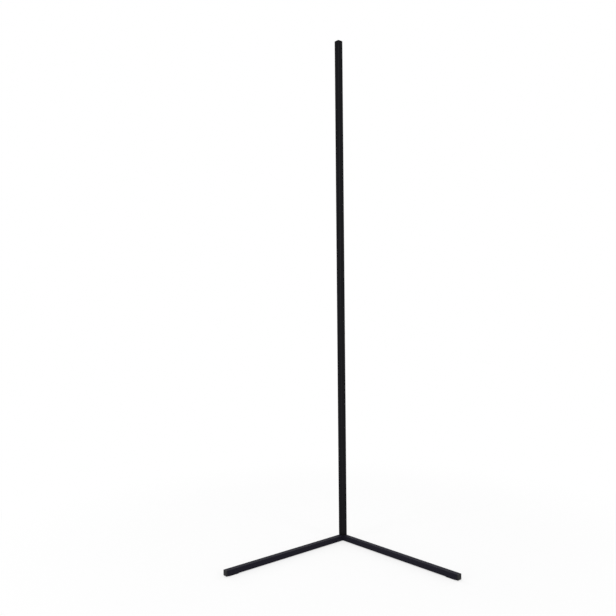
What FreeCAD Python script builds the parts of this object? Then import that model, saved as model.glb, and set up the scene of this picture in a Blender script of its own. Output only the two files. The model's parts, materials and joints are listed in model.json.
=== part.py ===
"""Corner floor lamp: a slim upright light bar in a floor corner, on two floor bars at a right angle.

Frame: millimetres, +Z up, origin at the centre of the corner pad's underside, on the pole's axis.
-Y is the front (into the room), +Y the rear (into the room's corner, where the light goes).
The pole's L section is drawn in a sketch turned by 45 degrees, so its two flat sides run along the
sketch's own axes, here called a and b, and its outer edge, the arris, points to -Y.
"""
import FreeCAD, Part
import math
import os

import Sketcher
from FreeCAD import Placement, Rotation, Vector

SECTIONS = ("pole_lower", "pole_middle", "pole_upper")
LEAD_COUNT = 4  # supply and three colours

# Driving dimensions in millimetres: alias, value, meaning.
SIZES = (
    ("pole_width", 16, "side of the pole's square envelope"),
    ("pole_wall", 1.4, "wall of the extrusion's two arms"),
    ("pole_round", 1.5, "radius of the front arris"),
    ("tip_round", 1.0, "radius of the outer corner at each arm's tip"),
    ("chamber_leg", 8.4, "short side of the triangular chamber"),
    ("web_thick", 1.2, "thickness of the web that carries the light strip"),
    ("lip_height", 1.0, "height of the snap lip above the arm's inner face"),
    ("lip_wall", 0.7, "thickness of the lip's root"),
    ("lip_barb", 0.4, "reach of the lip's barb over the cover's toe"),
    ("barb_thick", 0.4, "thickness of the barb"),
    ("section_length", 461, "length of one pole section"),
    ("slide_gap", 0.15, "clearance of a spline or tenon in the chamber"),
    ("snap_gap", 0.1, "clearance of the snap-in covers"),
    ("spline_length", 60, "length of the spline across a pole joint"),
    ("tenon_length", 40, "tenon of the corner block, up into the chamber"),
    ("cap_thick", 1.5, "plate of the top cap"),
    ("cap_bevel", 0.4, "chamfer round the cap's upper face"),
    ("cap_plug", 12, "plug of the top cap, down into the chamber"),
    ("block_bevel", 0.3, "chamfer round the corner block's upper face and underside"),
    ("leg_size", 14, "side of a square leg tube, also the height of the corner block"),
    ("leg_wall", 1.2, "wall of a leg tube"),
    ("leg_round", 0.8, "outer corner radius of a leg tube"),
    ("leg_length", 387, "length of a leg tube"),
    ("spigot_length", 35, "spigot of the corner block inside a leg"),
    ("spigot_gap", 0.2, "clearance round a spigot or plug in a leg"),
    ("spigot_lead", 1.5, "lead-in chamfer at a spigot's end"),
    ("plug_head", 2.5, "thickness of a leg plug's visible head"),
    ("plug_bevel", 0.5, "chamfer round the head's outer face"),
    ("plug_core", 8.6, "side of the plug's core between its fins"),
    ("plug_depth", 13, "depth of the plug inside the leg"),
    ("fin_thick", 1.2, "thickness of one plug fin"),
    ("fin_pitch", 3.2, "distance from one plug fin to the next"),
    ("pad_thick", 1.5, "thickness of the rubber pads"),
    ("corner_pad_radius", 5, "radius of the corner pad"),
    ("leg_pad_width", 11, "width of a leg pad"),
    ("leg_pad_length", 30, "length of a leg pad"),
    ("leg_pad_round", 2, "corner radius of a leg pad"),
    ("leg_pad_inset", 6, "distance from the leg tube's end to its pad"),
    ("web_screw", 3, "diameter of the screws in the web"),
    ("web_screw_head", 5, "head diameter of the screws in the web"),
    ("web_screw_length", 5, "length of the screws in the web"),
    ("web_screw_socket", 2, "width across flats of their hexagon socket"),
    ("web_screw_inset", 12, "distance from a joint to the screw next to it"),
    ("web_screw_pitch", 16, "distance from that screw to the tenon's second one"),
    ("leg_screw", 4, "diameter of the screws in the legs"),
    ("leg_screw_head", 6.2, "head diameter of the screws in the legs"),
    ("leg_screw_length", 10, "length of the screws in the legs"),
    ("leg_screw_socket", 2.5, "width across flats of their hexagon socket"),
    ("leg_screw_inset", 18, "distance from the block to a leg's screw"),
    ("screw_gap", 0.05, "radial clearance round every screw"),
    ("socket_depth", 0.9, "depth of the hexagon sockets"),
    ("cover_wall", 1.2, "wall of the opal cover and of the foot cover"),
    ("cover_stem", 0.9, "thickness of the covers' snap stems"),
    ("foot_cover_length", 70, "height of the foot cover"),
    ("strip_width", 10, "width of the light strip"),
    ("tape_thick", 0.2, "thickness of the adhesive tape"),
    ("strip_thick", 0.25, "thickness of the strip's board"),
    ("strip_end_gap", 5, "distance from the strip's ends to the foot cover and to the cap"),
    ("led_side", 5, "side of a light package"),
    ("led_height", 1.5, "height of a light package"),
    ("led_pitch", 33.3, "distance from one light package to the next"),
    ("lens_side", 3.8, "width across flats of the eight-sided window in a light package"),
    ("lens_height", 0.3, "height of that window above the package"),
    ("resistor_length", 2, "length of a resistor"),
    ("resistor_width", 1.25, "width of a resistor"),
    ("resistor_height", 0.5, "height of a resistor"),
    ("resistor_gap", 2, "distance from a light package to its resistor"),
    ("board_width", 12, "width of the control board"),
    ("board_thick", 1, "thickness of the control board"),
    ("board_lift", 4, "distance from the corner block to the control board"),
    ("part_gap", 3.5, "distance from one component of a board to the next along it"),
    ("shell_length", 8.94, "long side of the power inlet's shell"),
    ("shell_width", 3.26, "short side of the power inlet's shell"),
    ("shell_wall", 0.3, "sheet thickness of the shell"),
    ("shell_height", 6.1, "height of the shell above the board"),
    ("shell_base", 1.2, "floor of the inlet inside the shell"),
    ("tongue_length", 6.69, "long side of the contact tongue"),
    ("tongue_thick", 0.7, "thickness of the contact tongue"),
    ("tongue_height", 4.2, "height of the contact tongue above the inlet's floor"),
    ("opening_gap", 0.2, "clearance of the inlet and the button in the foot cover"),
    ("switch_side", 6, "side of the push switch"),
    ("switch_height", 2.9, "height of the push switch above the board"),
    ("switch_floor", 1, "thickness of the push switch's floor"),
    ("plunger_radius", 1.7, "radius of the switch's plunger"),
    ("plunger_gap", 0.1, "clearance round the plunger"),
    ("plunger_stand", 0.5, "height of the plunger above the switch, over the travel"),
    ("button_travel", 0.4, "travel of the button"),
    ("button_radius", 3, "radius of the button"),
    ("flange_radius", 3.7, "radius of the flange that keeps the button in"),
    ("flange_thick", 0.7, "thickness of that flange"),
    ("button_stand", 0.7, "height of the button above the foot cover, over the travel"),
    ("button_edge", 0.3, "chamfer round the button's face"),
    ("chip_length", 4.9, "length of the control chip"),
    ("chip_width", 3.9, "width of the control chip"),
    ("chip_height", 1.5, "height of the control chip"),
    ("driver_length", 2.9, "length of a driver transistor"),
    ("driver_width", 1.3, "width of a driver transistor"),
    ("driver_height", 1, "height of a driver transistor"),
    ("driver_pitch", 3.4, "distance from one driver transistor to the next"),
    ("capacitor_radius", 2, "radius of the capacitor"),
    ("capacitor_height", 4.2, "height of the capacitor"),
    ("radio_length", 7, "length of the radio module"),
    ("radio_width", 5, "width of the radio module"),
    ("radio_height", 1.4, "height of the radio module"),
    ("lead_width", 1.2, "width of a flat lead"),
    ("lead_thick", 0.4, "thickness of a flat lead"),
    ("lead_pitch", 2.3, "distance from one lead to the next"),
    ("lead_lap", 3.5, "length of a lead on the board and on the strip"),
)

doc = FreeCAD.newDocument("corner_floor_lamp")
sheet = doc.addObject("Spreadsheet::Sheet", "Sizes")
for row, (alias, value, meaning) in enumerate(SIZES, start=1):
    sheet.set(f"A{row}", alias)
    sheet.set(f"B{row}", str(value))
    sheet.set(f"C{row}", meaning)
    sheet.setAlias(f"B{row}", alias)
doc.recompute()

# Places that several pieces share, as expressions of the sheet's cells.
HALF = "Sizes.pole_width / 2"
APEX = "(Sizes.pole_wall - Sizes.pole_width / 2)"
COVER_RADIUS = "(Sizes.pole_width - Sizes.pole_wall)"
COVER_INSIDE = f"({COVER_RADIUS} - Sizes.cover_wall)"
WEB_REAR = f"({APEX} + Sizes.chamber_leg + Sizes.web_thick * sqrt(2))"
CHAMBER_Y = f"({APEX} * sqrt(2) + Sizes.chamber_leg / sqrt(2))"
WEB_Y = f"({CHAMBER_Y} + Sizes.web_thick)"
COVER_Y = f"({APEX} * sqrt(2) + {COVER_RADIUS})"
BOARD_Y = f"({WEB_Y} + Sizes.board_thick)"
STRIP_Y = f"({WEB_Y} + Sizes.tape_thick + Sizes.strip_thick)"
POLE_FOOT = "(Sizes.pad_thick + Sizes.leg_size)"
POLE_TOP = f"({POLE_FOOT} + {len(SECTIONS)} * Sizes.section_length)"
COVER_FOOT = f"({POLE_FOOT} + Sizes.foot_cover_length)"
STRIP_FOOT = f"({COVER_FOOT} + Sizes.strip_end_gap)"
STRIP_LENGTH = f"({POLE_TOP} - Sizes.strip_end_gap - {STRIP_FOOT})"
LEG_INSIDE = "(Sizes.leg_size - 2 * Sizes.leg_wall - 2 * Sizes.spigot_gap)"

# The control board's components, from its lower end up, a gap apart, and the leads' ends at its top.
BOARD_FOOT = f"({POLE_FOOT} + Sizes.board_lift)"
RADIO_Z = f"({BOARD_FOOT} + Sizes.part_gap + Sizes.radio_width / 2)"
INLET_Z = f"({RADIO_Z} + Sizes.radio_width / 2 + Sizes.part_gap + Sizes.shell_length / 2)"
CAPACITOR_Z = f"({INLET_Z} + Sizes.shell_length / 2 + Sizes.part_gap + Sizes.capacitor_radius)"
BUTTON_Z = f"({CAPACITOR_Z} + Sizes.capacitor_radius + Sizes.part_gap + Sizes.switch_side / 2)"
CHIP_Z = f"({BUTTON_Z} + Sizes.switch_side / 2 + Sizes.part_gap + Sizes.chip_length / 2)"
DRIVER_Z = f"({CHIP_Z} + Sizes.chip_length / 2 + Sizes.part_gap + Sizes.driver_width / 2)"
BOARD_TOP = f"({DRIVER_Z} + Sizes.driver_width / 2 + Sizes.part_gap + Sizes.lead_lap)"

# The light strip's row: one cell holds a light package and its resistor.
CELL = "(Sizes.led_side + Sizes.resistor_gap + Sizes.resistor_width)"
ROW_ROOM = f"({STRIP_LENGTH} - 2 * (Sizes.lead_lap + Sizes.part_gap) - {CELL})"
LED_COUNT = f"(floor({ROW_ROOM} / Sizes.led_pitch) + 1)"
ROW_FOOT = f"({STRIP_FOOT} + ({STRIP_LENGTH} - {CELL} - ({LED_COUNT} - 1) * Sizes.led_pitch) / 2)"

DIAGONAL = 45
LEGS = (("left", -1), ("right", 1))
UP = Vector(0, 0, 1)
SAME = 0.001  # two heights closer than this are the same height


def number(expression):
    """The present value of an expression of the sheet's cells."""
    return float(sheet.evalExpression(expression))


def bind(thing, **properties):
    """Bind properties to expressions; a double underscore stands for the dot of a nested one."""
    for name, expression in properties.items():
        thing.setExpression(name.replace("__", "."), expression)


def bind_place(thing, x="0", y="0", z="0"):
    """Bind the place of a sub-part, whose turn is set beforehand."""
    bind(thing, Placement__Base__x=x, Placement__Base__y=y, Placement__Base__z=z)


# ---- sketches ----

def plane_sketch(body, role, name, offset="0", turn=0):
    """A sketch on one of the body's origin planes, moved along its normal and turned in its plane."""
    sketch = body.newObject("Sketcher::SketchObject", name)
    plane = next(feature for feature in body.Origin.OriginFeatures if feature.Role == role)
    sketch.AttachmentSupport = [(plane, "")]
    sketch.MapMode = "FlatFace"
    sketch.AttachmentOffset = Placement(Vector(0, 0, 0), Rotation(UP, turn))
    bind(sketch, AttachmentOffset__Base__z=offset)
    return sketch


def hold(sketch, kind, expression, label, *where):
    """A dimension of the sketch that follows an expression."""
    index = sketch.addConstraint(Sketcher.Constraint(kind, *where, number(expression)))
    sketch.renameConstraint(index, label)
    sketch.setExpression(f"Constraints.{label}", expression)


def outline(sketch, corners, arcs=None):
    """A closed outline through the corners, each held by two dimensions.

    arcs gives, for an edge's number, its radius and 1 or -1 for a turn to the left or right. A half
    circle also gives the place of its centre along the sketch's second axis, which holds it.
    """
    arcs = arcs or {}
    points = [Vector(number(x), number(y), 0) for x, y in corners]
    first = sketch.GeometryCount
    ends = []
    for index, start in enumerate(points):
        end = points[(index + 1) % len(points)]
        if index not in arcs:
            sketch.addGeometry(Part.LineSegment(start, end), False)
            ends.append((1, 2))
            continue
        radius = number(arcs[index][0])
        turn = arcs[index][1]
        chord = end - start
        reach = math.sqrt(max(0.0, radius ** 2 - chord.Length ** 2 / 4))
        side = Vector(-chord.y, chord.x, 0).normalize() * turn
        centre = (start + end) * 0.5 + side * reach
        angles = [math.atan2(p.y - centre.y, p.x - centre.x) for p in (start, end)]
        sketch.addGeometry(Part.ArcOfCircle(Part.Circle(centre, UP, radius), *angles[::turn]), False)
        ends.append((1, 2) if turn > 0 else (2, 1))
    for index in range(len(points)):
        following = (index + 1) % len(points)
        meeting = (first + index, ends[index][1], first + following, ends[following][0])
        sketch.addConstraint(Sketcher.Constraint("Coincident", *meeting))
    for index, (x, y) in enumerate(corners):
        edge = first + index
        hold(sketch, "DistanceX", x, f"across{edge}", -1, 1, edge, ends[index][0])
        hold(sketch, "DistanceY", y, f"along{edge}", -1, 1, edge, ends[index][0])
    for index, (radius, _, *centre) in arcs.items():
        edge = first + index
        if centre:
            hold(sketch, "DistanceY", centre[0], f"centre{edge}", -1, 1, edge, 3)
        else:
            hold(sketch, "Radius", radius, f"radius{edge}", edge)


def circle(sketch, x, y, radius):
    """A circle whose centre and radius follow expressions."""
    place = Vector(number(x), number(y), 0)
    edge = sketch.addGeometry(Part.Circle(place, UP, number(radius)), False)
    hold(sketch, "DistanceX", x, f"across{edge}", -1, 1, edge, 3)
    hold(sketch, "DistanceY", y, f"along{edge}", -1, 1, edge, 3)
    hold(sketch, "Radius", radius, f"radius{edge}", edge)


def rounded(half_x, half_y, radius, x="0", y="0"):
    """Corners and arcs of a rectangle about (x, y) with round corners."""
    corners = [
        (f"{x} - {half_x} + {radius}", f"{y} - {half_y}"),
        (f"{x} + {half_x} - {radius}", f"{y} - {half_y}"),
        (f"{x} + {half_x}", f"{y} - {half_y} + {radius}"),
        (f"{x} + {half_x}", f"{y} + {half_y} - {radius}"),
        (f"{x} + {half_x} - {radius}", f"{y} + {half_y}"),
        (f"{x} - {half_x} + {radius}", f"{y} + {half_y}"),
        (f"{x} - {half_x}", f"{y} + {half_y} - {radius}"),
        (f"{x} - {half_x}", f"{y} - {half_y} + {radius}"),
    ]
    return corners, {edge: (radius, 1) for edge in (1, 3, 5, 7)}


def octagon(across):
    """Corners of a regular octagon, given its width across flats: a square with its corners cut."""
    corners, _ = rounded(f"{across} / 2", f"{across} / 2", f"({across} * (1 - 1 / sqrt(2)))")
    return corners


def obround(half_length, half_width, y="0"):
    """Corners and arcs of a slot about (0, y) that runs along the sketch's second axis."""
    straight = f"({half_length} - {half_width})"
    corners = [
        (half_width, f"{y} - {straight}"),
        (half_width, f"{y} + {straight}"),
        (f"-({half_width})", f"{y} + {straight}"),
        (f"-({half_width})", f"{y} - {straight}"),
    ]
    return corners, {1: (half_width, 1, corners[1][1]), 3: (half_width, 1, corners[3][1])}


def box_corners(left, right, low, high):
    """Corners of a rectangle."""
    return [(left, low), (right, low), (right, high), (left, high)]


def both_arms(points):
    """The points of one arm, in order, then the other arm's, which mirror them about a = b."""
    return points + [(b, a) for a, b in reversed(points)]


def extrusion_outline():
    """Outer line of the pole's section: arris, two arms with snap lips, and the web's rear face."""
    lip_top = f"{APEX} + Sizes.lip_height"
    barb_under = f"{lip_top} - Sizes.barb_thick"
    lip_root = f"{HALF} - Sizes.lip_wall"
    barb_end = f"{lip_root} - Sizes.lip_barb"
    arm = [
        (f"Sizes.pole_round - {HALF}", f"-({HALF})"),
        (f"{HALF} - Sizes.tip_round", f"-({HALF})"),
        (HALF, f"Sizes.tip_round - {HALF}"),
        (HALF, lip_top),
        (barb_end, lip_top),
        (barb_end, barb_under),
        (lip_root, barb_under),
        (lip_root, APEX),
        (WEB_REAR, APEX),
    ]
    corners = both_arms(arm)
    last = len(corners) - 1
    return corners, {
        1: ("Sizes.tip_round", 1),
        last - 2: ("Sizes.tip_round", 1),
        last: ("Sizes.pole_round", 1),
    }


def chamber_corners(gap="0"):
    """Corners of the triangular chamber behind the arris, or of what slides in it with a gap."""
    near = f"{APEX} + {gap}"
    far = f"{APEX} + Sizes.chamber_leg - {gap} * (1 + sqrt(2))"
    return [(near, near), (far, near), (near, far)]


def plan_outline():
    """The pole's whole outline seen from above, with the covers in place: a quarter round."""
    arm = [
        (f"Sizes.pole_round - {HALF}", f"-({HALF})"),
        (f"{HALF} - Sizes.tip_round", f"-({HALF})"),
        (HALF, f"Sizes.tip_round - {HALF}"),
        (HALF, APEX),
    ]
    return both_arms(arm), {
        1: ("Sizes.tip_round", 1),
        3: (COVER_RADIUS, 1),
        5: ("Sizes.tip_round", 1),
        7: ("Sizes.pole_round", 1),
    }


def cover_outline():
    """Section of a snap-in cover: a quarter ring whose two stems hook under the pole's lips."""
    ring_end = "(Sizes.lip_height + Sizes.snap_gap)"
    toe_top = f"{APEX} + Sizes.lip_height - Sizes.barb_thick - Sizes.snap_gap"
    toe_tip = f"{HALF} - Sizes.lip_wall - Sizes.snap_gap"
    stem_out = f"{toe_tip} - Sizes.lip_barb"
    stem_in = f"({stem_out} - Sizes.cover_stem)"
    sole = f"{APEX} + Sizes.snap_gap"
    inner_end = f"{APEX} + sqrt({COVER_INSIDE} ^ 2 - ({stem_in} - {APEX}) ^ 2)"
    side = [
        (stem_in, inner_end),
        (stem_in, sole),
        (toe_tip, sole),
        (toe_tip, toe_top),
        (stem_out, toe_top),
        (stem_out, f"{APEX} + {ring_end}"),
        (f"{APEX} + sqrt({COVER_RADIUS} ^ 2 - {ring_end} ^ 2)", f"{APEX} + {ring_end}"),
    ]
    last = 2 * len(side) - 1
    return both_arms(side), {len(side) - 1: (COVER_RADIUS, 1), last: (COVER_INSIDE, -1)}


# ---- features ----

def new_body(label):
    """An empty body whose label names its sub-part."""
    body = doc.addObject("PartDesign::Body", label)
    body.Label = label
    return body


def pad(body, sketch, length, reverse=False):
    """Raise a sketch along its normal, or against it."""
    feature = body.newObject("PartDesign::Pad", f"{body.Label}_raised")
    feature.Profile = sketch
    feature.Reversed = reverse
    bind(feature, Length=length)
    doc.recompute()
    return feature


def pocket(body, sketch, depth, reverse=False):
    """Cut a sketch into the body against its normal, or along it, and see that it cuts."""
    before = body.Shape.Volume
    feature = body.newObject("PartDesign::Pocket", f"{body.Label}_pocket")
    feature.Profile = sketch
    feature.Reversed = reverse
    bind(feature, Length=depth)
    doc.recompute()
    if body.Shape.Volume >= before:
        raise RuntimeError(f"a pocket of {body.Label} cuts nothing")
    return feature


def drill(body, sketch, diameter, depth, head=None, reverse=False):
    """Drill the sketch's circles, with a 90 degree countersink where a head's diameter is given."""
    doc.recompute()
    before = body.Shape.Volume
    feature = body.newObject("PartDesign::Hole", f"{body.Label}_holes")
    feature.Profile = sketch
    feature.Reversed = reverse
    feature.ThreadType = "None"
    feature.DepthType = "Dimension"
    feature.DrillPoint = "Flat"
    if head:
        feature.HoleCutType = "Countersink"
        feature.HoleCutCustomValues = True
        feature.HoleCutCountersinkAngle = 90
        bind(feature, HoleCutDiameter=head)
    bind(feature, Diameter=diameter, Depth=depth)
    doc.recompute()
    if body.Shape.Volume >= before:
        raise RuntimeError(f"the holes of {body.Label} cut nothing")
    return feature


def bevel(body, size, *heights):
    """Chamfer all edges of the body's flat faces that lie at the given heights in its own frame."""
    base = body.Tip
    faces = []
    for index, face in enumerate(base.Shape.Faces, start=1):
        bounds = face.BoundBox
        if any(max(abs(z - number(height)) for z in (bounds.ZMin, bounds.ZMax)) < SAME for height in heights):
            faces.append(f"Face{index}")
    feature = body.newObject("PartDesign::Chamfer", f"{body.Label}_bevel")
    feature.Base = (base, faces)
    bind(feature, Size=size)
    body.Tip = feature
    doc.recompute()


def prism(label, drawing, length, z, turn=DIAGONAL):
    """A body of one upright section: its drawing gives corners and arcs."""
    body = new_body(label)
    section = plane_sketch(body, "XY_Plane", f"{label}_section", turn=turn)
    outline(section, *drawing)
    pad(body, section, length)
    bind_place(body, z=z)
    return body, section


def step_pattern(body, feature, role, pitch, count):
    """Repeat a feature along one of the body's axes, count times, a pitch apart."""
    pattern = body.newObject("PartDesign::LinearPattern", f"{body.Label}_row")
    pattern.Originals = [feature]
    axis = next(line for line in body.Origin.OriginFeatures if line.Role == role)
    pattern.Direction = (axis, [""])
    pattern.Mode = "Spacing"
    bind(pattern, Offset=pitch, Occurrences=count)
    body.Tip = pattern
    doc.recompute()
    return pattern


def box(label, width, depth, height, x, y, z):
    """A plain block given by its sizes along X, Y and Z and by its low corner."""
    block = doc.addObject("Part::Box", label)
    block.Label = label
    bind(block, Length=width, Width=depth, Height=height)
    bind_place(block, x, y, z)
    return block


def group(label, members):
    """One sub-part made of several separate solids."""
    compound = doc.addObject("Part::Compound", label)
    compound.Label = label
    compound.Links = members
    return compound


# ---- the pole ----

def web_screw_heights(section):
    """Heights of a section's screws above its own foot: beside each joint, and a second in the tenon."""
    heights = ["Sizes.web_screw_inset"]
    if section == 0:
        heights.append("Sizes.web_screw_inset + Sizes.web_screw_pitch")
    if section < len(SECTIONS) - 1:
        heights.append("Sizes.section_length - Sizes.web_screw_inset")
    return heights


def pole_section(section, label):
    """One length of the extrusion, drilled and countersunk through its web from the rear."""
    foot = f"{POLE_FOOT} + {section} * Sizes.section_length"
    body = new_body(label)
    profile = plane_sketch(body, "XY_Plane", f"{label}_profile", turn=DIAGONAL)
    outline(profile, *extrusion_outline())
    outline(profile, chamber_corners())
    pad(body, profile, "Sizes.section_length")
    centres = plane_sketch(body, "XZ_Plane", f"{label}_hole_centres", offset=f"-{WEB_Y}")
    for height in web_screw_heights(section):
        circle(centres, "0", height, "Sizes.web_screw / 2")
    drill(
        body,
        centres,
        diameter="Sizes.web_screw + 2 * Sizes.screw_gap",
        depth="Sizes.web_thick + Sizes.screw_gap",
        head="Sizes.web_screw_head + 2 * Sizes.screw_gap",
        reverse=True,
    )
    bind_place(body, z=foot)
    return body


def spline(label, joint):
    """The bar inside the chamber that joins two lengths of the pole."""
    length = "Sizes.spline_length"
    foot = f"{POLE_FOOT} + {joint} * Sizes.section_length - {length} / 2"
    body, _ = prism(label, (chamber_corners("Sizes.slide_gap"),), length, foot)
    centres = plane_sketch(
        body, "XZ_Plane", f"{label}_hole_centres", offset=f"Sizes.slide_gap - {CHAMBER_Y}"
    )
    for side in ("-", "+"):
        circle(centres, "0", f"{length} / 2 {side} Sizes.web_screw_inset", "Sizes.web_screw / 2")
    drill(
        body,
        centres,
        diameter="Sizes.web_screw + 2 * Sizes.screw_gap",
        depth="Sizes.web_screw_length - Sizes.web_thick",
        reverse=True,
    )
    return body


def top_cap():
    """Plate on the pole's upper end, with a plug down into the chamber."""
    body, _ = prism("top_cap", plan_outline(), "Sizes.cap_thick", POLE_TOP)
    bevel(body, "Sizes.cap_bevel", "Sizes.cap_thick")
    plug = plane_sketch(body, "XY_Plane", "top_cap_plug", turn=DIAGONAL)
    outline(plug, chamber_corners("Sizes.slide_gap"))
    pad(body, plug, "Sizes.cap_plug", reverse=True)
    return body


# ---- the foot ----

def corner_block():
    """Block under the pole: tenon up into the chamber, one spigot into each leg."""
    body, _ = prism("corner_block", plan_outline(), "Sizes.leg_size", "Sizes.pad_thick")
    bevel(body, "Sizes.block_bevel", "0", "Sizes.leg_size")
    tenon = plane_sketch(body, "XY_Plane", "corner_block_tenon", offset="Sizes.leg_size", turn=DIAGONAL)
    outline(tenon, chamber_corners("Sizes.slide_gap"))
    pad(body, tenon, "Sizes.tenon_length")
    low = "Sizes.leg_wall + Sizes.spigot_gap"
    half = f"{LEG_INSIDE} / 2"
    face = f"-({HALF})"
    end = f"-({HALF} + Sizes.spigot_length)"
    lead_start = f"{end} + Sizes.spigot_lead"
    lead_half = f"({half} - Sizes.spigot_lead)"
    spigot = [
        (face, half),
        (lead_start, half),
        (end, lead_half),
        (end, f"-{lead_half}"),
        (lead_start, f"-({half})"),
        (face, f"-({half})"),
    ]
    for side, corners in (("left", spigot), ("right", [(b, a) for a, b in reversed(spigot)])):
        sketch = plane_sketch(body, "XY_Plane", f"corner_block_{side}_spigot", offset=low, turn=DIAGONAL)
        outline(sketch, corners)
        pad(body, sketch, LEG_INSIDE)
    centres = plane_sketch(body, "XY_Plane", "corner_block_leg_holes", offset=low, turn=DIAGONAL)
    reach = f"-({HALF} + Sizes.leg_screw_inset)"
    for a, b in ((reach, "0"), ("0", reach)):
        circle(centres, a, b, "Sizes.leg_screw / 2")
    drill(
        body,
        centres,
        diameter="Sizes.leg_screw + 2 * Sizes.screw_gap",
        depth="Sizes.leg_screw_length - Sizes.leg_wall",
        reverse=True,
    )
    centres = plane_sketch(
        body, "XZ_Plane", "corner_block_pole_holes", offset=f"Sizes.slide_gap - {CHAMBER_Y}"
    )
    for height in web_screw_heights(0)[:2]:
        circle(centres, "0", f"Sizes.leg_size + {height}", "Sizes.web_screw / 2")
    drill(
        body,
        centres,
        diameter="Sizes.web_screw + 2 * Sizes.screw_gap",
        depth="Sizes.web_screw_length - Sizes.web_thick",
        reverse=True,
    )
    return body


def leg_turn(side):
    """Turn of a body drawn along its own Z, with its own Y up, into a leg's direction."""
    outward = Vector(side, -1, 0).normalize()
    return Rotation(UP.cross(outward), UP, outward, "ZYX")


def place_on_leg(body, side, distance="0"):
    """Put a body on the leg's centre line, a distance out from the corner block's face."""
    reach = f"(({HALF} + {distance}) / sqrt(2))"
    body.Placement = Placement(Vector(0, 0, 0), leg_turn(side))
    bind_place(body, x=f"{side} * {reach}", y=f"-{reach}", z="Sizes.pad_thick + Sizes.leg_size / 2")


def leg(name, side):
    """Square tube with a countersunk hole in its underside."""
    body = new_body(f"{name}_leg")
    section = plane_sketch(body, "XY_Plane", f"{name}_leg_section")
    outline(section, *rounded("Sizes.leg_size / 2", "Sizes.leg_size / 2", "Sizes.leg_round"))
    inside = "(Sizes.leg_size / 2 - Sizes.leg_wall)"
    outline(section, box_corners(f"-{inside}", inside, f"-{inside}", inside))
    pad(body, section, "Sizes.leg_length")
    centre = plane_sketch(body, "XZ_Plane", f"{name}_leg_hole_centre", offset="Sizes.leg_size / 2")
    circle(centre, "0", "Sizes.leg_screw_inset", "Sizes.leg_screw / 2")
    drill(
        body,
        centre,
        diameter="Sizes.leg_screw + 2 * Sizes.screw_gap",
        depth="Sizes.leg_wall + Sizes.screw_gap",
        head="Sizes.leg_screw_head + 2 * Sizes.screw_gap",
    )
    place_on_leg(body, side)
    return body


def leg_plug(name, side):
    """End plug: a head as large as the tube, and a finned core inside it."""
    body = new_body(f"{name}_leg_plug")
    head = plane_sketch(body, "XY_Plane", f"{name}_leg_plug_head")
    outline(head, *rounded("Sizes.leg_size / 2", "Sizes.leg_size / 2", "Sizes.leg_round"))
    pad(body, head, "Sizes.plug_head")
    bevel(body, "Sizes.plug_bevel", "Sizes.plug_head")
    core = plane_sketch(body, "XY_Plane", f"{name}_leg_plug_core")
    half = "Sizes.plug_core / 2"
    outline(core, box_corners(f"-{half}", half, f"-{half}", half))
    pad(body, core, "Sizes.plug_depth", reverse=True)
    fin = plane_sketch(body, "XY_Plane", f"{name}_leg_plug_fin", offset="-Sizes.plug_depth")
    half = f"{LEG_INSIDE} / 2"
    outline(fin, box_corners(f"-{half}", half, f"-{half}", half))
    first = pad(body, fin, "Sizes.fin_thick")
    fins = "floor((Sizes.plug_depth - Sizes.fin_thick) / Sizes.fin_pitch) + 1"
    step_pattern(body, first, "Z_Axis", "Sizes.fin_pitch", fins)
    place_on_leg(body, side, "Sizes.leg_length")
    return body


def corner_pad():
    """Round rubber pad under the corner block."""
    body = new_body("corner_pad")
    sketch = plane_sketch(body, "XY_Plane", "corner_pad_plan")
    circle(sketch, "0", "0", "Sizes.corner_pad_radius")
    pad(body, sketch, "Sizes.pad_thick")
    return body


def leg_pad(name, side):
    """Rubber strip under the outer end of a leg."""
    centre = f"({HALF} + Sizes.leg_length - Sizes.leg_pad_inset - Sizes.leg_pad_length / 2) / sqrt(2)"
    half_sizes = ("Sizes.leg_pad_width / 2", "Sizes.leg_pad_length / 2")
    if side > 0:
        drawing = rounded(*half_sizes, "Sizes.leg_pad_round")
    else:
        drawing = rounded(*half_sizes[::-1], "Sizes.leg_pad_round")
    body, _ = prism(f"{name}_leg_pad", drawing, "Sizes.pad_thick", "0")
    bind_place(body, x=f"{side} * {centre}", y=f"-{centre}")
    return body


# ---- screws ----

def countersunk_screw(label, kind, turn):
    """A countersunk socket screw along its own Z, head down: cone and shank less the hexagon socket."""
    cone_height = f"(Sizes.{kind}_head - Sizes.{kind}) / 2"
    cone = doc.addObject("Part::Cone", f"{label}_cone")
    bind(cone, Radius1=f"Sizes.{kind}_head / 2", Radius2=f"Sizes.{kind} / 2", Height=cone_height)
    shank = doc.addObject("Part::Cylinder", f"{label}_shank")
    bind(shank, Radius=f"Sizes.{kind} / 2", Height=f"Sizes.{kind}_length - {cone_height}")
    bind(shank, Placement__Base__z=cone_height)
    blank = doc.addObject("Part::Fuse", f"{label}_blank")
    blank.Base = cone
    blank.Tool = shank
    socket = doc.addObject("Part::Prism", f"{label}_socket")
    socket.Polygon = 6
    bind(socket, Circumradius=f"Sizes.{kind}_socket / sqrt(3)", Height="Sizes.socket_depth")
    screw = doc.addObject("Part::Cut", label)
    screw.Base = blank
    screw.Tool = socket
    screw.Placement = Placement(Vector(0, 0, 0), turn)
    return screw


def pole_screws():
    """Every screw through the web: two into the tenon, two into each spline."""
    screws = []
    into_web = Rotation(Vector(1, 0, 0), 90)
    for section in range(len(SECTIONS)):
        for height in web_screw_heights(section):
            screw = countersunk_screw(f"web_screw_{len(screws) + 1}", "web_screw", into_web)
            bind_place(screw, y=WEB_Y, z=f"{POLE_FOOT} + {section} * Sizes.section_length + {height}")
            screws.append(screw)
    return group("pole_screws", screws)


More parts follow.
